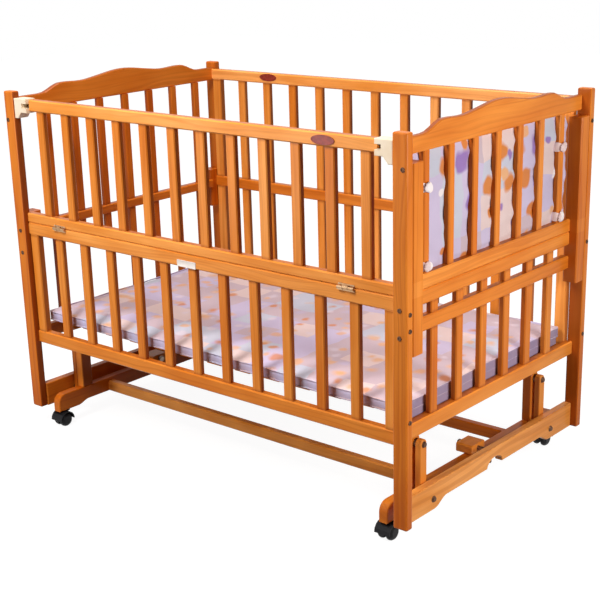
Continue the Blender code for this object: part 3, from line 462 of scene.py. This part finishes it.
# Painted shade: the top faces of the crests are painted darker.
crest_top_shade = (2, 1.0, 0.85)
for number, name in enumerate(sorted(nodes)):
    corner = name.split("_", 1)[-1]
    side = name.split("_")[-1]
    pine_name = "pine " + name
    if name.startswith("post_"):
        # Posts are also painted darker towards the floor, as painted shade.
        dress(name, plank_pine(pine_name, 'Z', number, post_tones[side], painted_shade_sides.get(corner), -0.14))
    elif name.startswith("upright_"):
        dress(name, plank_pine(pine_name, 'Z', number, upright_tone, painted_shade_sides.get(corner)))
    elif name.startswith("link_"):
        dress(name, plank_pine(pine_name, 'Z', number, link_tones[side], painted_shade_sides.get(corner)))
    elif name.startswith("crest_"):
        dress(name, plank_pine(pine_name, 'Y', number, plank_tones[name], crest_top_shade))
    elif name.startswith(("low_board_", "foot_board_", "lock_block_", "bed_base")):
        dress(name, plank_pine(pine_name, 'Y', number, plank_tones.get(name, 0.0)))
    elif name.startswith("stretcher_"):
        # The rear stretcher is painted darker, as painted shade under the crib.
        dress(name, plank_pine(pine_name, 'X', number, -0.30 if name.endswith("rear") else 0.10))
print("planks dressed")

# %% [markdown]
# ## Metal and plastic
#
# The pivot bolts and stop pins are browned steel, and the lock bolts and gate pins zinc
# plated steel that has gone a little dull, so their roughness is mottled. The hinges have
# a thin brass wash with fine brushing. The catches are off-white moulded plastic, and the
# casters are black plastic with a faint moulding texture.

# %% Metal finishes
def metal(name, dark, light, roughness, brushing):
    """Mottled metal between two tones, drawn out along x where brushing is under 1."""
    finish = Finish(name)
    x, y, z = finish.place()
    where = finish.point(finish.times(x, brushing), y, z)
    mottle = finish.noise(where, 260.0, 4.0, 0.6)
    finish.set(Base_Color=finish.ramp(mottle, [(0.3, dark), (0.7, light)]),
               Roughness=finish.times_add(mottle, 0.2, roughness), Metallic=1.0)
    finish.bump(mottle, 0.08, 0.0002)
    return finish.material


zinc = metal("zinc plated steel", (0.15, 0.10, 0.075, 1), (0.34, 0.27, 0.22, 1), 0.30, 1.0)
brass = metal("brass hinge", (0.34, 0.20, 0.10, 1), (0.50, 0.33, 0.19, 1), 0.42, 0.15)
dark_steel = metal("dark bolt", (0.07, 0.032, 0.018, 1), (0.17, 0.09, 0.055, 1), 0.34, 1.0)
for name in nodes:
    if name.startswith(("upper_pivot_", "lower_pivot_", "stop_pin_")):
        dress(name, dark_steel)
    elif name.startswith(("lock_bolt_", "gate_pin_")):
        dress(name, zinc)
    elif name.startswith("hinge_leaf_"):
        dress(name, brass)
print("metal dressed")

# %% Plastic finishes
def plastic(name, dark, light, roughness, grain, depth, gloss=0.4):
    """Moulded plastic between two tones, with a fine texture of the given depth."""
    finish = Finish(name)
    where = finish.point(*finish.place())
    cloud = finish.noise(where, 40.0, 3.0)
    fine = finish.noise(where, grain, 2.0)
    finish.set(Base_Color=finish.ramp(cloud, [(0.3, dark), (0.7, light)]),
               Roughness=finish.times_add(fine, 0.15, roughness), Specular_IOR_Level=gloss)
    finish.bump(fine, 0.15, depth)
    return finish.material


white_plastic = plastic("catch plastic", (0.84, 0.70, 0.50, 1), (0.90, 0.79, 0.62, 1), 0.30, 900, 0.0001)
black_plastic = plastic("caster plastic", (0.005, 0.005, 0.006, 1), (0.010, 0.010, 0.012, 1),
                        0.34, 1400, 0.0002, 0.15)
for name in nodes:
    if name.startswith("catch_"):
        dress(name, white_plastic)
    elif name.startswith("caster_"):
        dress(name, black_plastic)
print("plastic dressed")

# %% [markdown]
# ## Printed cotton
#
# The mattress and the bumper wear a like cotton: a pale lilac ground pieced from soft
# patches, with small orange, violet and white shapes strewn over it. The ground comes from
# rounding the place on the cloth to a square grid, whose squares have random numbers that
# pick their tone. The shapes use finer grids: each square may hold one blot, whose place,
# size and colour come from its random number, and a slow noise makes its outline
# uneven. Over that lie the threads of the weave and a slow change of tone.

# %% Shapes of the print
def blots(finish, u, v, size, share, stops, seed, soft_edge):
    """A mask and a colour for the shapes strewn on a grid of the given size."""
    u = finish.math('DIVIDE', u, size)
    v = finish.math('DIVIDE', v, size)
    row = finish.math('FLOOR', v)
    u = finish.times_add(row, 0.41, u)
    column = finish.math('FLOOR', u)
    pick = finish.add("ShaderNodeTexWhiteNoise", {"Vector": finish.point(column, row, seed)},
                      noise_dimensions='3D')
    parts = finish.add("ShaderNodeSeparateColor", {0: pick.outputs["Color"]}).outputs
    middle_u, middle_v = [finish.times_add(part, 0.3, 0.35) for part in (parts[0], parts[1])]
    inner_u = finish.math('SUBTRACT', finish.math('FRACT', u), middle_u)
    inner_v = finish.math('SUBTRACT', finish.math('FRACT', v), middle_v)
    away = finish.math('SQRT', finish.times_add(inner_u, inner_u, finish.times(inner_v, inner_v)))
    rough = finish.noise(finish.point(u, v, seed), 1.9, 1.0)
    away = finish.times_add(finish.math('SUBTRACT', rough, 0.5), 0.55, away)
    reach = finish.times_add(parts[2], 0.14, 0.24)
    mask = finish.rising(finish.math('SUBTRACT', reach, away), 0.0, soft_edge)
    present = finish.math('LESS_THAN', pick.outputs["Value"], share)
    colour = finish.ramp(finish.math('FRACT', finish.times(pick.outputs["Value"], 37.0)), stops, 'CONSTANT')
    return finish.times(mask, present), colour


print("print shapes ready")

# %% Printed cotton finish
thread = 0.0011


def cotton(name, axes, grounds, patch, layers, shade, strength=0.92, soft_edge=0.12, border_and_end_shade=None):
    """Printed cotton on the plane of the first two axes, woven along them.

    grounds are the stops of the ground's colours, patch the size of a ground patch, and
    layers the (size, share, stops) of each grid of shapes. The last argument holds the
    colour of the plain strip along the long sides, and the darker colour of the ends,
    which is painted shade.
    """
    finish = Finish(name)
    place = dict(zip("XYZ", finish.place()))
    first, second, side = [place[axis] for axis in axes]
    u = finish.times_add(side, 0.35, first)
    v = finish.times_add(side, 0.35, second)
    wobble = finish.noise(finish.point(u, v, 0.0), 12.0, 2.0)
    wobble = finish.times(finish.math('SUBTRACT', wobble, 0.5), 0.03)
    patch_u = finish.math('FLOOR', finish.math('DIVIDE', finish.math('ADD', u, wobble), patch))
    patch_v = finish.math('FLOOR', finish.math('DIVIDE', finish.math('SUBTRACT', v, wobble), patch))
    pick = finish.add("ShaderNodeTexWhiteNoise", {"Vector": finish.point(patch_u, patch_v, 0.5)},
                      noise_dimensions='3D')
    colour = finish.ramp(pick.outputs["Value"], grounds, 'CONSTANT')
    for number, (size, share, stops) in enumerate(layers):
        mask, print_colour = blots(finish, u, v, size, share, stops, 2.5 + number, soft_edge)
        colour = finish.blend(finish.times(mask, strength), colour, print_colour)
    if border_and_end_shade is not None:
        facing = [finish.math('ABSOLUTE', part) for part in finish.facing()]
        upright = finish.math('SUBTRACT', 1.0, finish.rising(facing[2], 0.35, 0.75))
        # Painted shade: the faces at the ends take the darker colour.
        at_end = finish.rising(facing[0], 0.5, 0.8)
        colour = finish.blend(finish.times(upright, 0.8), colour, finish.blend(at_end, *border_and_end_shade))
    thread_u = finish.math('SINE', finish.times(first, 2 * math.pi / thread))
    thread_v = finish.math('SINE', finish.times(second, 2 * math.pi / thread))
    weave = finish.times(thread_u, thread_v)
    soft = finish.noise(finish.point(*place.values()), 9.0, 3.0)
    level = finish.times_add(soft, 0.22, shade)
    level = finish.times_add(weave, 0.02, level)
    colour = finish.blend(1.0, colour, finish.point(level, level, level), 'MULTIPLY')
    finish.set(Base_Color=colour, Roughness=finish.times_add(weave, 0.04, 0.86),
               Sheen_Weight=0.10, Sheen_Roughness=0.5, Specular_IOR_Level=0.2)
    finish.bump(weave, 0.25, 0.0003)
    return finish.material


print("cotton ready, threads", thread, "m apart")

# %% Cottons of the crib
lavender = (0.58, 0.52, 0.72, 1)
blue_grey = (0.55, 0.58, 0.70, 1)
lilac_grey = (0.58, 0.47, 0.54, 1)
pink_cream = (0.74, 0.60, 0.60, 1)
violet = (0.29, 0.17, 0.48, 1)
orange_print = (0.66, 0.205, 0.012, 1)
peach_print = (0.78, 0.42, 0.19, 1)
white_print = (0.86, 0.82, 0.84, 1)
pale_lilac = (0.72, 0.64, 0.74, 1)
bumper_ground = [(0.0, lavender), (0.40, blue_grey), (0.66, pink_cream), (0.84, lilac_grey)]
bumper_large = [(0.0, orange_print), (0.46, violet), (0.70, white_print), (0.84, orange_print)]
bumper_small = [(0.0, violet), (0.35, peach_print), (0.60, white_print), (0.82, orange_print)]
bumper_cloth = cotton("bumper cotton", "YZX", bumper_ground, 0.064,
                      [(0.062, 0.52, bumper_large), (0.034, 0.14, bumper_small)], 0.84)
mattress_ground = [(0.0, lilac_grey), (0.46, lavender), (0.66, pink_cream), (0.84, blue_grey)]
mattress_large = [(0.0, peach_print), (0.50, pale_lilac), (0.72, lavender), (0.88, orange_print)]
mattress_small = [(0.0, peach_print), (0.42, pale_lilac), (0.80, orange_print)]
# The second colour is painted shade on the ends of the mattress.
mattress_border_and_end_shade = [(0.60, 0.58, 0.86, 1), (0.30, 0.24, 0.40, 1)]
mattress_cloth = cotton("mattress cotton", "XYZ", mattress_ground, 0.070,
                        [(0.052, 0.62, mattress_large), (0.036, 0.30, mattress_small)], 0.82,
                        strength=0.72, soft_edge=0.22, border_and_end_shade=mattress_border_and_end_shade)
tie_ground = [(0.0, pink_cream), (0.5, white_print), (0.8, lilac_grey)]
tie_cloth = cotton("tie cotton", "YZX", tie_ground, 0.05,
                   [(0.03, 0.3, [(0.0, lavender), (0.6, peach_print)])], 0.92)
print("cottons", [cloth.name for cloth in (bumper_cloth, mattress_cloth, tie_cloth)])

# %% [markdown]
# ## Padded pieces
#
# Cloth over a filling swells where nothing holds it. Each pad starts as a plain block
# with soft edges, is remeshed to even quads, and is blown up by a short cloth simulation
# that is capped so that it keeps its size. The underside of the mattress and the face of
# the bumper that presses on the slats are held still in it.

# %% Block helpers
def block(name, low, high, cuts):
    """A box between two corners, cut into even faces."""
    deselect()
    middle = [(a + b) / 2 for a, b in zip(low, high)]
    bpy.ops.mesh.primitive_cube_add(size=1, location=middle)
    item = bpy.context.active_object
    item.name = name
    item.scale = [b - a for a, b in zip(low, high)]
    bpy.ops.object.transform_apply()
    bpy.ops.object.mode_set(mode='EDIT')
    bpy.ops.mesh.select_all(action='SELECT')
    bpy.ops.mesh.subdivide(number_cuts=cuts)
    bpy.ops.object.mode_set(mode='OBJECT')
    return item


def pick(item):
    """Makes the piece the only selected one and the active one."""
    deselect()
    item.select_set(True)
    bpy.context.view_layer.objects.active = item


def apply_all(item):
    """Applies the piece's modifiers in their order."""
    pick(item)
    for modifier in list(item.modifiers):
        bpy.ops.object.modifier_apply(modifier=modifier.name)


def remesh(item, voxel):
    """Rebuilds the piece from even quads about a voxel wide."""
    modifier = item.modifiers.new("even quads", 'REMESH')
    modifier.mode = 'VOXEL'
    modifier.voxel_size = voxel
    apply_all(item)


def round_edges(item, width, segments):
    """Rounds the sharp edges of the piece."""
    bevel = item.modifiers.new("soft edge", 'BEVEL')
    bevel.width = width
    bevel.segments = segments
    bevel.limit_method = 'ANGLE'
    apply_all(item)


print("block helpers ready")

# %% Swell and smooth helpers
swell_frames = 20


def swell(item, held, pressure, most, box):
    """Inflates the pad and keeps each point within most of its start and inside the box."""
    before = [vert.co.copy() for vert in item.data.vertices]
    group = item.vertex_groups.new(name="held")
    group.add([i for i, place in enumerate(before) if held(place)], 1.0, 'REPLACE')
    cloth = item.modifiers.new("cloth", 'CLOTH')
    cloth.settings.quality = 5
    cloth.settings.mass = 0.25
    cloth.settings.use_pressure = True
    cloth.settings.uniform_pressure_force = pressure
    cloth.settings.effector_weights.gravity = 0
    cloth.settings.vertex_group_mass = "held"
    cloth.settings.tension_stiffness = 12
    cloth.settings.bending_stiffness = 0.4
    cloth.point_cache.frame_start = 1
    cloth.point_cache.frame_end = swell_frames
    for number in range(1, swell_frames + 1):
        bpy.context.scene.frame_set(number)
    apply_all(item)
    for vert, start in zip(item.data.vertices, before):
        step = vert.co - start
        if step.length > most:
            vert.co = start + step * (most / step.length)
        for axis in range(3):
            vert.co[axis] = min(max(vert.co[axis], box[0][axis]), box[1][axis])
    bpy.context.scene.frame_set(1)
    item.vertex_groups.clear()


def smooth(item, angle=60):
    """Shades the piece smooth where its faces meet below an angle in degrees."""
    pick(item)
    bpy.ops.object.shade_smooth_by_angle(angle=math.radians(angle))


print("pads swell for", swell_frames, "frames")

# %% [markdown]
# ## The mattress
#
# A thin foam mattress in a sewn cover. It lies flat on the slatted base, its top is a
# little crowned and wavy, and its sides pull in between the corners. A welt runs round
# the top and bottom edges where the panels of the cover are sewn together, and a hem
# hangs down behind the rail of the right end.

# %% Mattress block
mat_low, mat_high = [Vector(corner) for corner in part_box("mattress")]
mat_half = (mat_high - mat_low) / 2
mat_middle = (mat_low + mat_high) / 2
end_reach, side_inset, crown = 0.0045, 0.001, 0.003
end_draw, side_draw = 0.001, 0.003


def drawn_in(x, y):
    """How far an edge point is pulled in between the corners. x and y run from the middle."""
    share_x, share_y = x / mat_half.x, y / mat_half.y
    return (end_draw * (1 - share_y ** 2) * share_x ** 9, side_draw * (1 - share_x ** 2) * share_y ** 9)


mattress = block("mattress_cover", mat_low + Vector((-end_reach, side_inset, 0.0002)),
                 mat_high - Vector((-end_reach, side_inset, crown)), 30)
for vert in mattress.data.vertices:
    pull_x, pull_y = drawn_in(vert.co.x - mat_middle.x, vert.co.y - mat_middle.y)
    vert.co.x -= pull_x
    vert.co.y -= pull_y
round_edges(mattress, 0.006, 3)
remesh(mattress, 0.006)
print("mattress block", len(mattress.data.polygons), "faces")

# %% Crown and waves of the mattress
top_seam = mat_high.z - 0.0068
swell(mattress, lambda place: place.z < mat_high.z - 0.0085, 2.0, crown,
      (mat_low - Vector((end_reach, side_inset, 0)), mat_high + Vector((end_reach, side_inset, crown))))
waves = random.Random(3)
dimples = [(waves.uniform(-0.45, 0.45), waves.uniform(-0.24, 0.24), waves.uniform(0.04, 0.11),
            waves.uniform(-0.0016, 0.0022)) for _ in range(46)]
for vert in mattress.data.vertices:
    if vert.co.z > mat_middle.z:
        lift = sum(height * math.exp(-((vert.co.x - x) ** 2 + (vert.co.y - y) ** 2) / size ** 2)
                   for x, y, size, height in dimples)
        vert.co.z = min(vert.co.z + lift, mat_high.z + 0.004)
smooth(mattress)
mattress.data.materials.append(mattress_cloth)
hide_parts("mattress")
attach(mattress, "crib")
print("mattress", len(mattress.data.polygons), "faces")

# %% Hem at the right end
hem_inset = 0.012
hem = block("mattress_hem", (mat_high.x + 0.0004, mat_low.y + hem_inset, end_rail_top - 0.0015),
            (mat_high.x + end_reach - 0.0003, mat_high.y - hem_inset, top_seam), 9)
round_edges(hem, 0.001, 1)
smooth(hem)
# Its face at the end takes the cover's darker end colour, which is painted shade.
hem.data.materials.append(mattress_cloth)
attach(hem, "crib")
print("hem", round(top_seam - end_rail_top + 0.0015, 4), "m high")

# %% Helpers for the welts
def round_path(half_x, half_y, radius, count):
    """Points round a rectangle with rounded corners."""
    points = []
    for turn, (sx, sy) in enumerate(((1, 1), (-1, 1), (-1, -1), (1, -1))):
        for i in range(count + 1):
            angle = math.radians(90 * turn + 90 * i / count)
            points.append((sx * (half_x - radius) + radius * math.cos(angle),
                           sy * (half_y - radius) + radius * math.sin(angle)))
    return points


def closed_tube(name, points, radius):
    """A closed round cord through the points, as a mesh."""
    curve = bpy.data.curves.new(name, 'CURVE')
    curve.dimensions = '3D'
    curve.bevel_depth = radius
    curve.bevel_resolution = 2
    spline = curve.splines.new('POLY')
    spline.points.add(len(points) - 1)
    for point, place in zip(spline.points, points):
        point.co = (*place, 1)
    spline.use_cyclic_u = True
    item = bpy.data.objects.new(name, curve)
    bpy.context.collection.objects.link(item)
    pick(item)
    bpy.ops.object.convert(target='MESH')
    return bpy.context.active_object


print("welt helpers ready")

# %% Welts of the mattress
welt_radius = 0.0016
welt_step = 0.02
for label, height in (("top", top_seam), ("bottom", mat_low.z + 0.0048)):
    path = round_path(mat_half.x + end_reach - 0.0004, mat_half.y - 0.0012, 0.008, 6)
    points = []
    for i, start in enumerate(path):
        end = path[(i + 1) % len(path)]
        steps = max(1, int((Vector(end) - Vector(start)).length / welt_step))
        for step in range(steps):
            x, y = Vector(start).lerp(Vector(end), step / steps)
            pull_x, pull_y = drawn_in(x, y)
            ripple = 0.0006 * math.sin(i * 1.7 + step)
            points.append((mat_middle.x + (x - pull_x), mat_middle.y + (y - pull_y), height + ripple))
    welt = closed_tube("mattress_welt_" + label, points, welt_radius)
    smooth(welt)
    welt.data.materials.append(mattress_cloth)
    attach(welt, "crib")
print("welts sewn")

# %% [markdown]
# ## The bumper
#
# A padded panel inside the right end, held by cloth ties round the first and last slats.
# It presses on the slats and puffs out between them, unevenly, so that its edge wanders
# in and out of view beside each slat.

# %% Bumper block
slats = [end_pitch * (i - 3) for i in range(7)]
half_slat, slat_face, slat_outer = 0.009, 0.487, 0.499
bump_low, bump_high = [Vector(corner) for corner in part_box("end_bumper")]
bumper = block("bumper_cover", Vector((bump_low.x + 0.003, bump_low.y + 0.001, bump_low.z - 0.004)),
               Vector((slat_face - 0.0008, bump_high.y - 0.001, bump_high.z + 0.005)), 24)
round_edges(bumper, 0.006, 4)
remesh(bumper, 0.0045)
print("bumper block", len(bumper.data.polygons), "faces")

# %% Swell of the bumper
swell(bumper, lambda place: place.x > slat_face - 0.006, 3.0, 0.006,
      (bump_low - Vector((0.005, 0.001, 0.004)), Vector((slat_face, bump_high.y, bump_high.z + 0.005))))
finer = bumper.modifiers.new("finer", 'SUBSURF')
finer.levels = 1
finer.render_levels = 1
apply_all(bumper)
print("bumper body", len(bumper.data.polygons), "faces")

# %% [markdown]
# Between two slats the cloth bulges out, and where it meets the side of each slat it
# stands out more at some heights than at others. Each side of each gap gets a wave of its
# own, and the cloth in the gap runs from one wave to the other. Under a slat it stays
# flat on the slat's back.

# %% Waves of the gaps
puffs = random.Random(11)


def wave(most):
    """A slow random curve up the bumper, between zero and most."""
    slow, slow_start = puffs.uniform(60, 95), puffs.uniform(0, 6.3)
    fast, fast_start = puffs.uniform(120, 190), puffs.uniform(0, 6.3)
    return lambda z: most * (0.5 + 0.32 * math.sin(slow * z + slow_start)
                             + 0.18 * math.sin(fast * z + fast_start))


edges = [bump_low.y - half_slat] + slats + [bump_high.y + half_slat]
gaps = [(edges[i] + half_slat, edges[i + 1] - half_slat, wave(0.0055), wave(0.0075))
        for i in range(len(edges) - 1)]
print(len(gaps), "gaps, two waves each")

# %% Puffs between the slats
puff_depth = 0.010


def beside_slat(y):
    """How far a point is from the middle of the nearest slat."""
    return min(abs(y - slat) for slat in slats)


def puff(y, z, gap):
    """How far the cloth bulges out at a point of a gap."""
    start, end, near, far = gap
    share = (y - start) / (end - start)
    smooth_share = share * share * (3 - 2 * share)
    middle = 0.0026 * math.sin(math.pi * share)
    lift = near(z) * (1 - smooth_share) + far(z) * smooth_share + middle
    return min(0.0094, lift)


for vert in bumper.data.vertices:
    x, y, z = vert.co
    depth = (x - (slat_face - puff_depth)) / puff_depth
    if depth <= 0 or beside_slat(y) < half_slat + 0.0004:
        continue
    for gap in gaps:
        if gap[0] < y < gap[1]:
            rise = min(1.0, min(y - gap[0], gap[1] - y) / 0.0028)
            top_fade = min(1.0, max(0.0, (bump_high.z - z) / 0.022))
            low_fade = min(1.0, max(0.0, (z - bump_low.z + 0.002) / 0.012))
            vert.co.x += puff(y, z, gap) * math.sqrt(rise) * depth * top_fade * low_fade
print("deepest point", round(max(vert.co.x for vert in bumper.data.vertices), 4))

# %% Cloth of the bumper
for vert in bumper.data.vertices:
    if beside_slat(vert.co.y) < half_slat + 0.0006:
        vert.co.x = min(vert.co.x, slat_face - 0.0004)
smooth(bumper, 80)
bumper.data.materials.append(bumper_cloth)
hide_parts("end_bumper")
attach(bumper, "crib")
print("bumper", len(bumper.data.polygons), "faces")

# %% Bumper tie
tie_gap = 0.0012
tie_rows = (-0.0095, -0.005, 0.0, 0.005, 0.0095)


def tie(name, slat_y, height):
    """A cloth band round one slat, with its ends tucked into the bumper's seam."""
    inner, outer = slat_face - tie_gap, slat_outer + tie_gap
    half = half_slat + tie_gap
    points = [(inner, -half), (outer - 0.002, -half), (outer, -half + 0.002), (outer, half - 0.002),
              (outer - 0.002, half), (inner, half)]
    mesh = bpy.data.meshes.new(name)
    bm = bmesh.new()
    for z in tie_rows:
        for k, (x, y) in enumerate(points):
            narrow = 1 - 0.25 * (k in (2, 3))
            bm.verts.new((x, slat_y + y, height + z * narrow + 0.0012 * math.sin(k * 1.3)))
    bm.verts.ensure_lookup_table()
    count = len(points)
    for row in range(len(tie_rows) - 1):
        for k in range(count - 1):
            a = row * count + k
            bm.faces.new([bm.verts[j] for j in (a, a + 1, a + count + 1, a + count)])
    bm.to_mesh(mesh)
    bm.free()
    item = bpy.data.objects.new(name, mesh)
    bpy.context.collection.objects.link(item)
    thick = item.modifiers.new("cloth", 'SOLIDIFY')
    thick.thickness = 0.0009
    thick.offset = 0
    soft = item.modifiers.new("soft", 'SUBSURF')
    soft.levels = soft.render_levels = 1
    apply_all(item)
    smooth(item, 50)
    item.data.materials.append(tie_cloth)
    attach(item, "crib")


print("tie rows", len(tie_rows))

# %% Bumper knot
knot_x = 0.5030
knot_half = (0.0044, 0.0105, 0.0098)


def knot(name, slat_y, height, turn):
    """The knot that closes a tie: a small gathered ball of cloth on the slat's outer face."""
    deselect()
    bpy.ops.mesh.primitive_uv_sphere_add(segments=28, ring_count=16, radius=1)
    item = bpy.context.active_object
    item.name = name
    item.scale = knot_half
    bpy.ops.object.transform_apply()
    for vert in item.data.vertices:
        angle = math.atan2(vert.co.z, vert.co.y)
        edge = min(1.0, math.hypot(vert.co.y / knot_half[1], vert.co.z / knot_half[2]))
        fold = 1 + 0.09 * edge * math.sin(2 * angle + turn)
        fold += 0.08 * edge * math.sin(3 * angle + 1.7 * turn)
        fold += 0.03 * edge * math.sin(7 * angle + 2.3 * turn)
        vert.co.y *= fold
        vert.co.z *= fold
        vert.co.x *= 1 - 0.30 * (1 - edge) + 0.10 * math.sin(3 * angle + turn)
        vert.co += Vector((knot_x, slat_y, height))
    smooth(item)
    item.data.materials.append(tie_cloth)
    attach(item, "crib")


print("knot half sizes", knot_half)

# %% Ties and knots in place
for label, slat_y in (("front", slats[0]), ("rear", slats[-1])):
    for level, height in (("low", 0.508), ("high", 0.645)):
        tie("bumper_tie_" + label + "_" + level, slat_y, height)
        knot("bumper_knot_" + label + "_" + level, slat_y, height, 7 * height + 9 * slat_y)
print("four ties and their knots")

# %% [markdown]
# ## Bolts and screws
#
# The rails are held by bolts through the posts. Their dark heads have a round recess and
# sit on the outer faces of the posts. One head is modelled from a cylinder, whose rim is
# bevelled and whose top is inset and pushed in, and it is then copied to each place.

# %% Head with a recess
def head(name, radius, height, recess):
    """A round head with a recess in its top, standing on the origin."""
    deselect()
    bpy.ops.mesh.primitive_cylinder_add(vertices=24, radius=radius, depth=height,
                                        location=(0, 0, height / 2))
    item = bpy.context.active_object
    item.name = name
    bpy.ops.object.transform_apply()
    mesh = item.data
    bpy.ops.object.mode_set(mode='EDIT')
    bpy.ops.mesh.select_mode(type='FACE')
    bpy.ops.mesh.select_all(action='DESELECT')
    bpy.ops.object.mode_set(mode='OBJECT')
    for face in mesh.polygons:
        face.select = face.normal.z > 0.9
    bpy.ops.object.mode_set(mode='EDIT')
    bpy.ops.mesh.bevel(offset=height * 0.35, segments=2)
    bpy.ops.object.mode_set(mode='OBJECT')
    for face in mesh.polygons:
        face.select = face.normal.z > 0.99 and face.area > radius * radius
    bpy.ops.object.mode_set(mode='EDIT')
    bpy.ops.mesh.inset(thickness=radius * (1 - recess) * 0.6)
    bpy.ops.mesh.extrude_region_move(TRANSFORM_OT_translate={"value": (0, 0, -height * 0.6)})
    bpy.ops.object.mode_set(mode='OBJECT')
    smooth(item, 35)
    return item


print("head helper ready")

# %% Copies of a head
def turn_and_place(item, direction, place):
    """Turns a piece made along +Z towards a direction, and puts it in its place."""
    turn = Vector((0, 0, 1)).rotation_difference(Vector(direction)).to_matrix().to_4x4()
    item.data.transform(turn)
    for vert in item.data.vertices:
        vert.co += Vector(place)
    item.data.update()


def copies(first, label, body, places, material):
    """A copy of the first piece at each (direction, place), riding on a body."""
    for number, (direction, place) in enumerate(places):
        item = first.copy()
        item.data = first.data.copy()
        item.name = label + "_" + str(number + 1)
        bpy.context.collection.objects.link(item)
        turn_and_place(item, direction, place)
        item.data.materials.clear()
        item.data.materials.append(material)
        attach(item, body)
    bpy.data.objects.remove(first, do_unlink=True)


print("copy helpers ready")

# %% Bolt heads of the posts
post_x, post_y = 0.505, 0.304
face_x, face_y = 0.52, 0.313
crest_bolt_x, crest_bolt_z = 0.5115, 0.690
front_bolts, rear_bolts, side_bolts = (0.444, 0.4145, 0.249), (0.687, 0.444, 0.249), (0.451, 0.402)
places = []
for sx in (-1, 1):
    for sy in (-1, 1):
        for z in front_bolts if sy < 0 else rear_bolts:
            places.append(((sx, 0, 0), (sx * face_x, sy * post_y, z)))
        places.append(((0, sy, 0), (sx * crest_bolt_x, sy * face_y, crest_bolt_z)))
        for z in side_bolts:
            places.append(((0, sy, 0), (sx * post_x, sy * face_y, z)))
copies(head("post_bolt", 0.0042, 0.0016, 0.5), "post_bolt", "crib", places, dark_steel)
print(len(places), "bolt heads")

# %% Hinge screws
hinge_x, screw_shift, leaf_face = 0.384, 0.012, -0.3035
for label, body, height in (("panel", "crib", 0.46465), ("gate", "gate", 0.47435)):
    places = [((0, -1, 0), (sx * hinge_x + shift, leaf_face, height))
              for sx in (-1, 1) for shift in (-screw_shift, screw_shift)]
    copies(head("hinge_screw", 0.0013, 0.0005, 0.4), "hinge_screw_" + label, body,
           places, brass)
    print(len(places), "screws ride on", body)

# %% [markdown]
# ## Blank plate and medallions
#
# A small pale plate sits on the front waist rail, and a dark oval medallion on the gate's
# top rail, with another on the rear one. They stay blank. Each starts as a flat cylinder
# or cube and gets a raised rim by an inset and an extrude, and the plate a soft edge too.

# %% Raised rim
stand_up = Euler((math.radians(90), 0, 0)).to_matrix().to_4x4()


def raised_rim(item, rim, rise):
    """Insets the outward face and raises the border round it."""
    mesh = item.data
    bpy.ops.object.mode_set(mode='EDIT')
    bpy.ops.mesh.select_mode(type='FACE')
    bpy.ops.mesh.select_all(action='DESELECT')
    bpy.ops.object.mode_set(mode='OBJECT')
    biggest = max(face.area for face in mesh.polygons)
    for face in mesh.polygons:
        face.select = face.normal.z > 0.9 and face.area > biggest * 0.9
    bpy.ops.object.mode_set(mode='EDIT')
    bpy.ops.mesh.inset(thickness=rim)
    bpy.ops.mesh.extrude_region_move(TRANSFORM_OT_translate={"value": (0, 0, -rise)})
    bpy.ops.object.mode_set(mode='OBJECT')


print("rim helper ready")

# %% Medallion
def medallion(name, place, body, material):
    """An oval medallion with a raised rim, facing the front."""
    deselect()
    bpy.ops.mesh.primitive_cylinder_add(vertices=48, radius=1, depth=1)
    item = bpy.context.active_object
    item.name = name
    item.scale = (0.0255, 0.0085, 0.0016)
    bpy.ops.object.transform_apply()
    raised_rim(item, 0.0013, 0.0006)
    item.data.transform(stand_up)
    for vert in item.data.vertices:
        vert.co += Vector(place)
    smooth(item, 35)
    item.data.materials.append(material)
    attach(item, body)


print("medallion helper ready")

# %% Enamel and medallions
enamel = Finish("dark red enamel")
cloud = enamel.noise(enamel.point(*enamel.place()), 180.0, 3.0)
enamel.set(Base_Color=enamel.ramp(cloud, [(0.3, (0.20, 0.018, 0.010, 1)), (0.7, (0.34, 0.040, 0.020, 1))]),
           Roughness=enamel.times_add(cloud, 0.1, 0.30), Coat_Weight=0.1, Coat_Roughness=0.15,
           Specular_IOR_Level=0.2)
medallion("gate_medallion", (0.337, -0.3029, 0.7215), "gate", enamel.material)
medallion("rear_medallion", (-0.307, 0.2832, 0.7245), "crib", enamel.material)
print("two medallions")

# %% Plate on the waist rail
deselect()
bpy.ops.mesh.primitive_cube_add(size=1)
plate = bpy.context.active_object
plate.name = "waist_plate"
plate.scale = (0.050, 0.0135, 0.0012)
bpy.ops.object.transform_apply()
raised_rim(plate, 0.0012, 0.0003)
bevel = plate.modifiers.new("soft edge", 'BEVEL')
bevel.width = 0.0004
bevel.segments = 2
apply_all(plate)
plate.data.transform(stand_up)
for vert in plate.data.vertices:
    vert.co += Vector((-0.0095, -0.3027, 0.4498))
smooth(plate, 35)
plate.data.materials.append(plastic("plate plastic", (0.80, 0.74, 0.68, 1), (0.90, 0.86, 0.82, 1),
                                    0.25, 500, 0.0001))
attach(plate, "crib")
print("plate", len(plate.data.polygons), "faces")
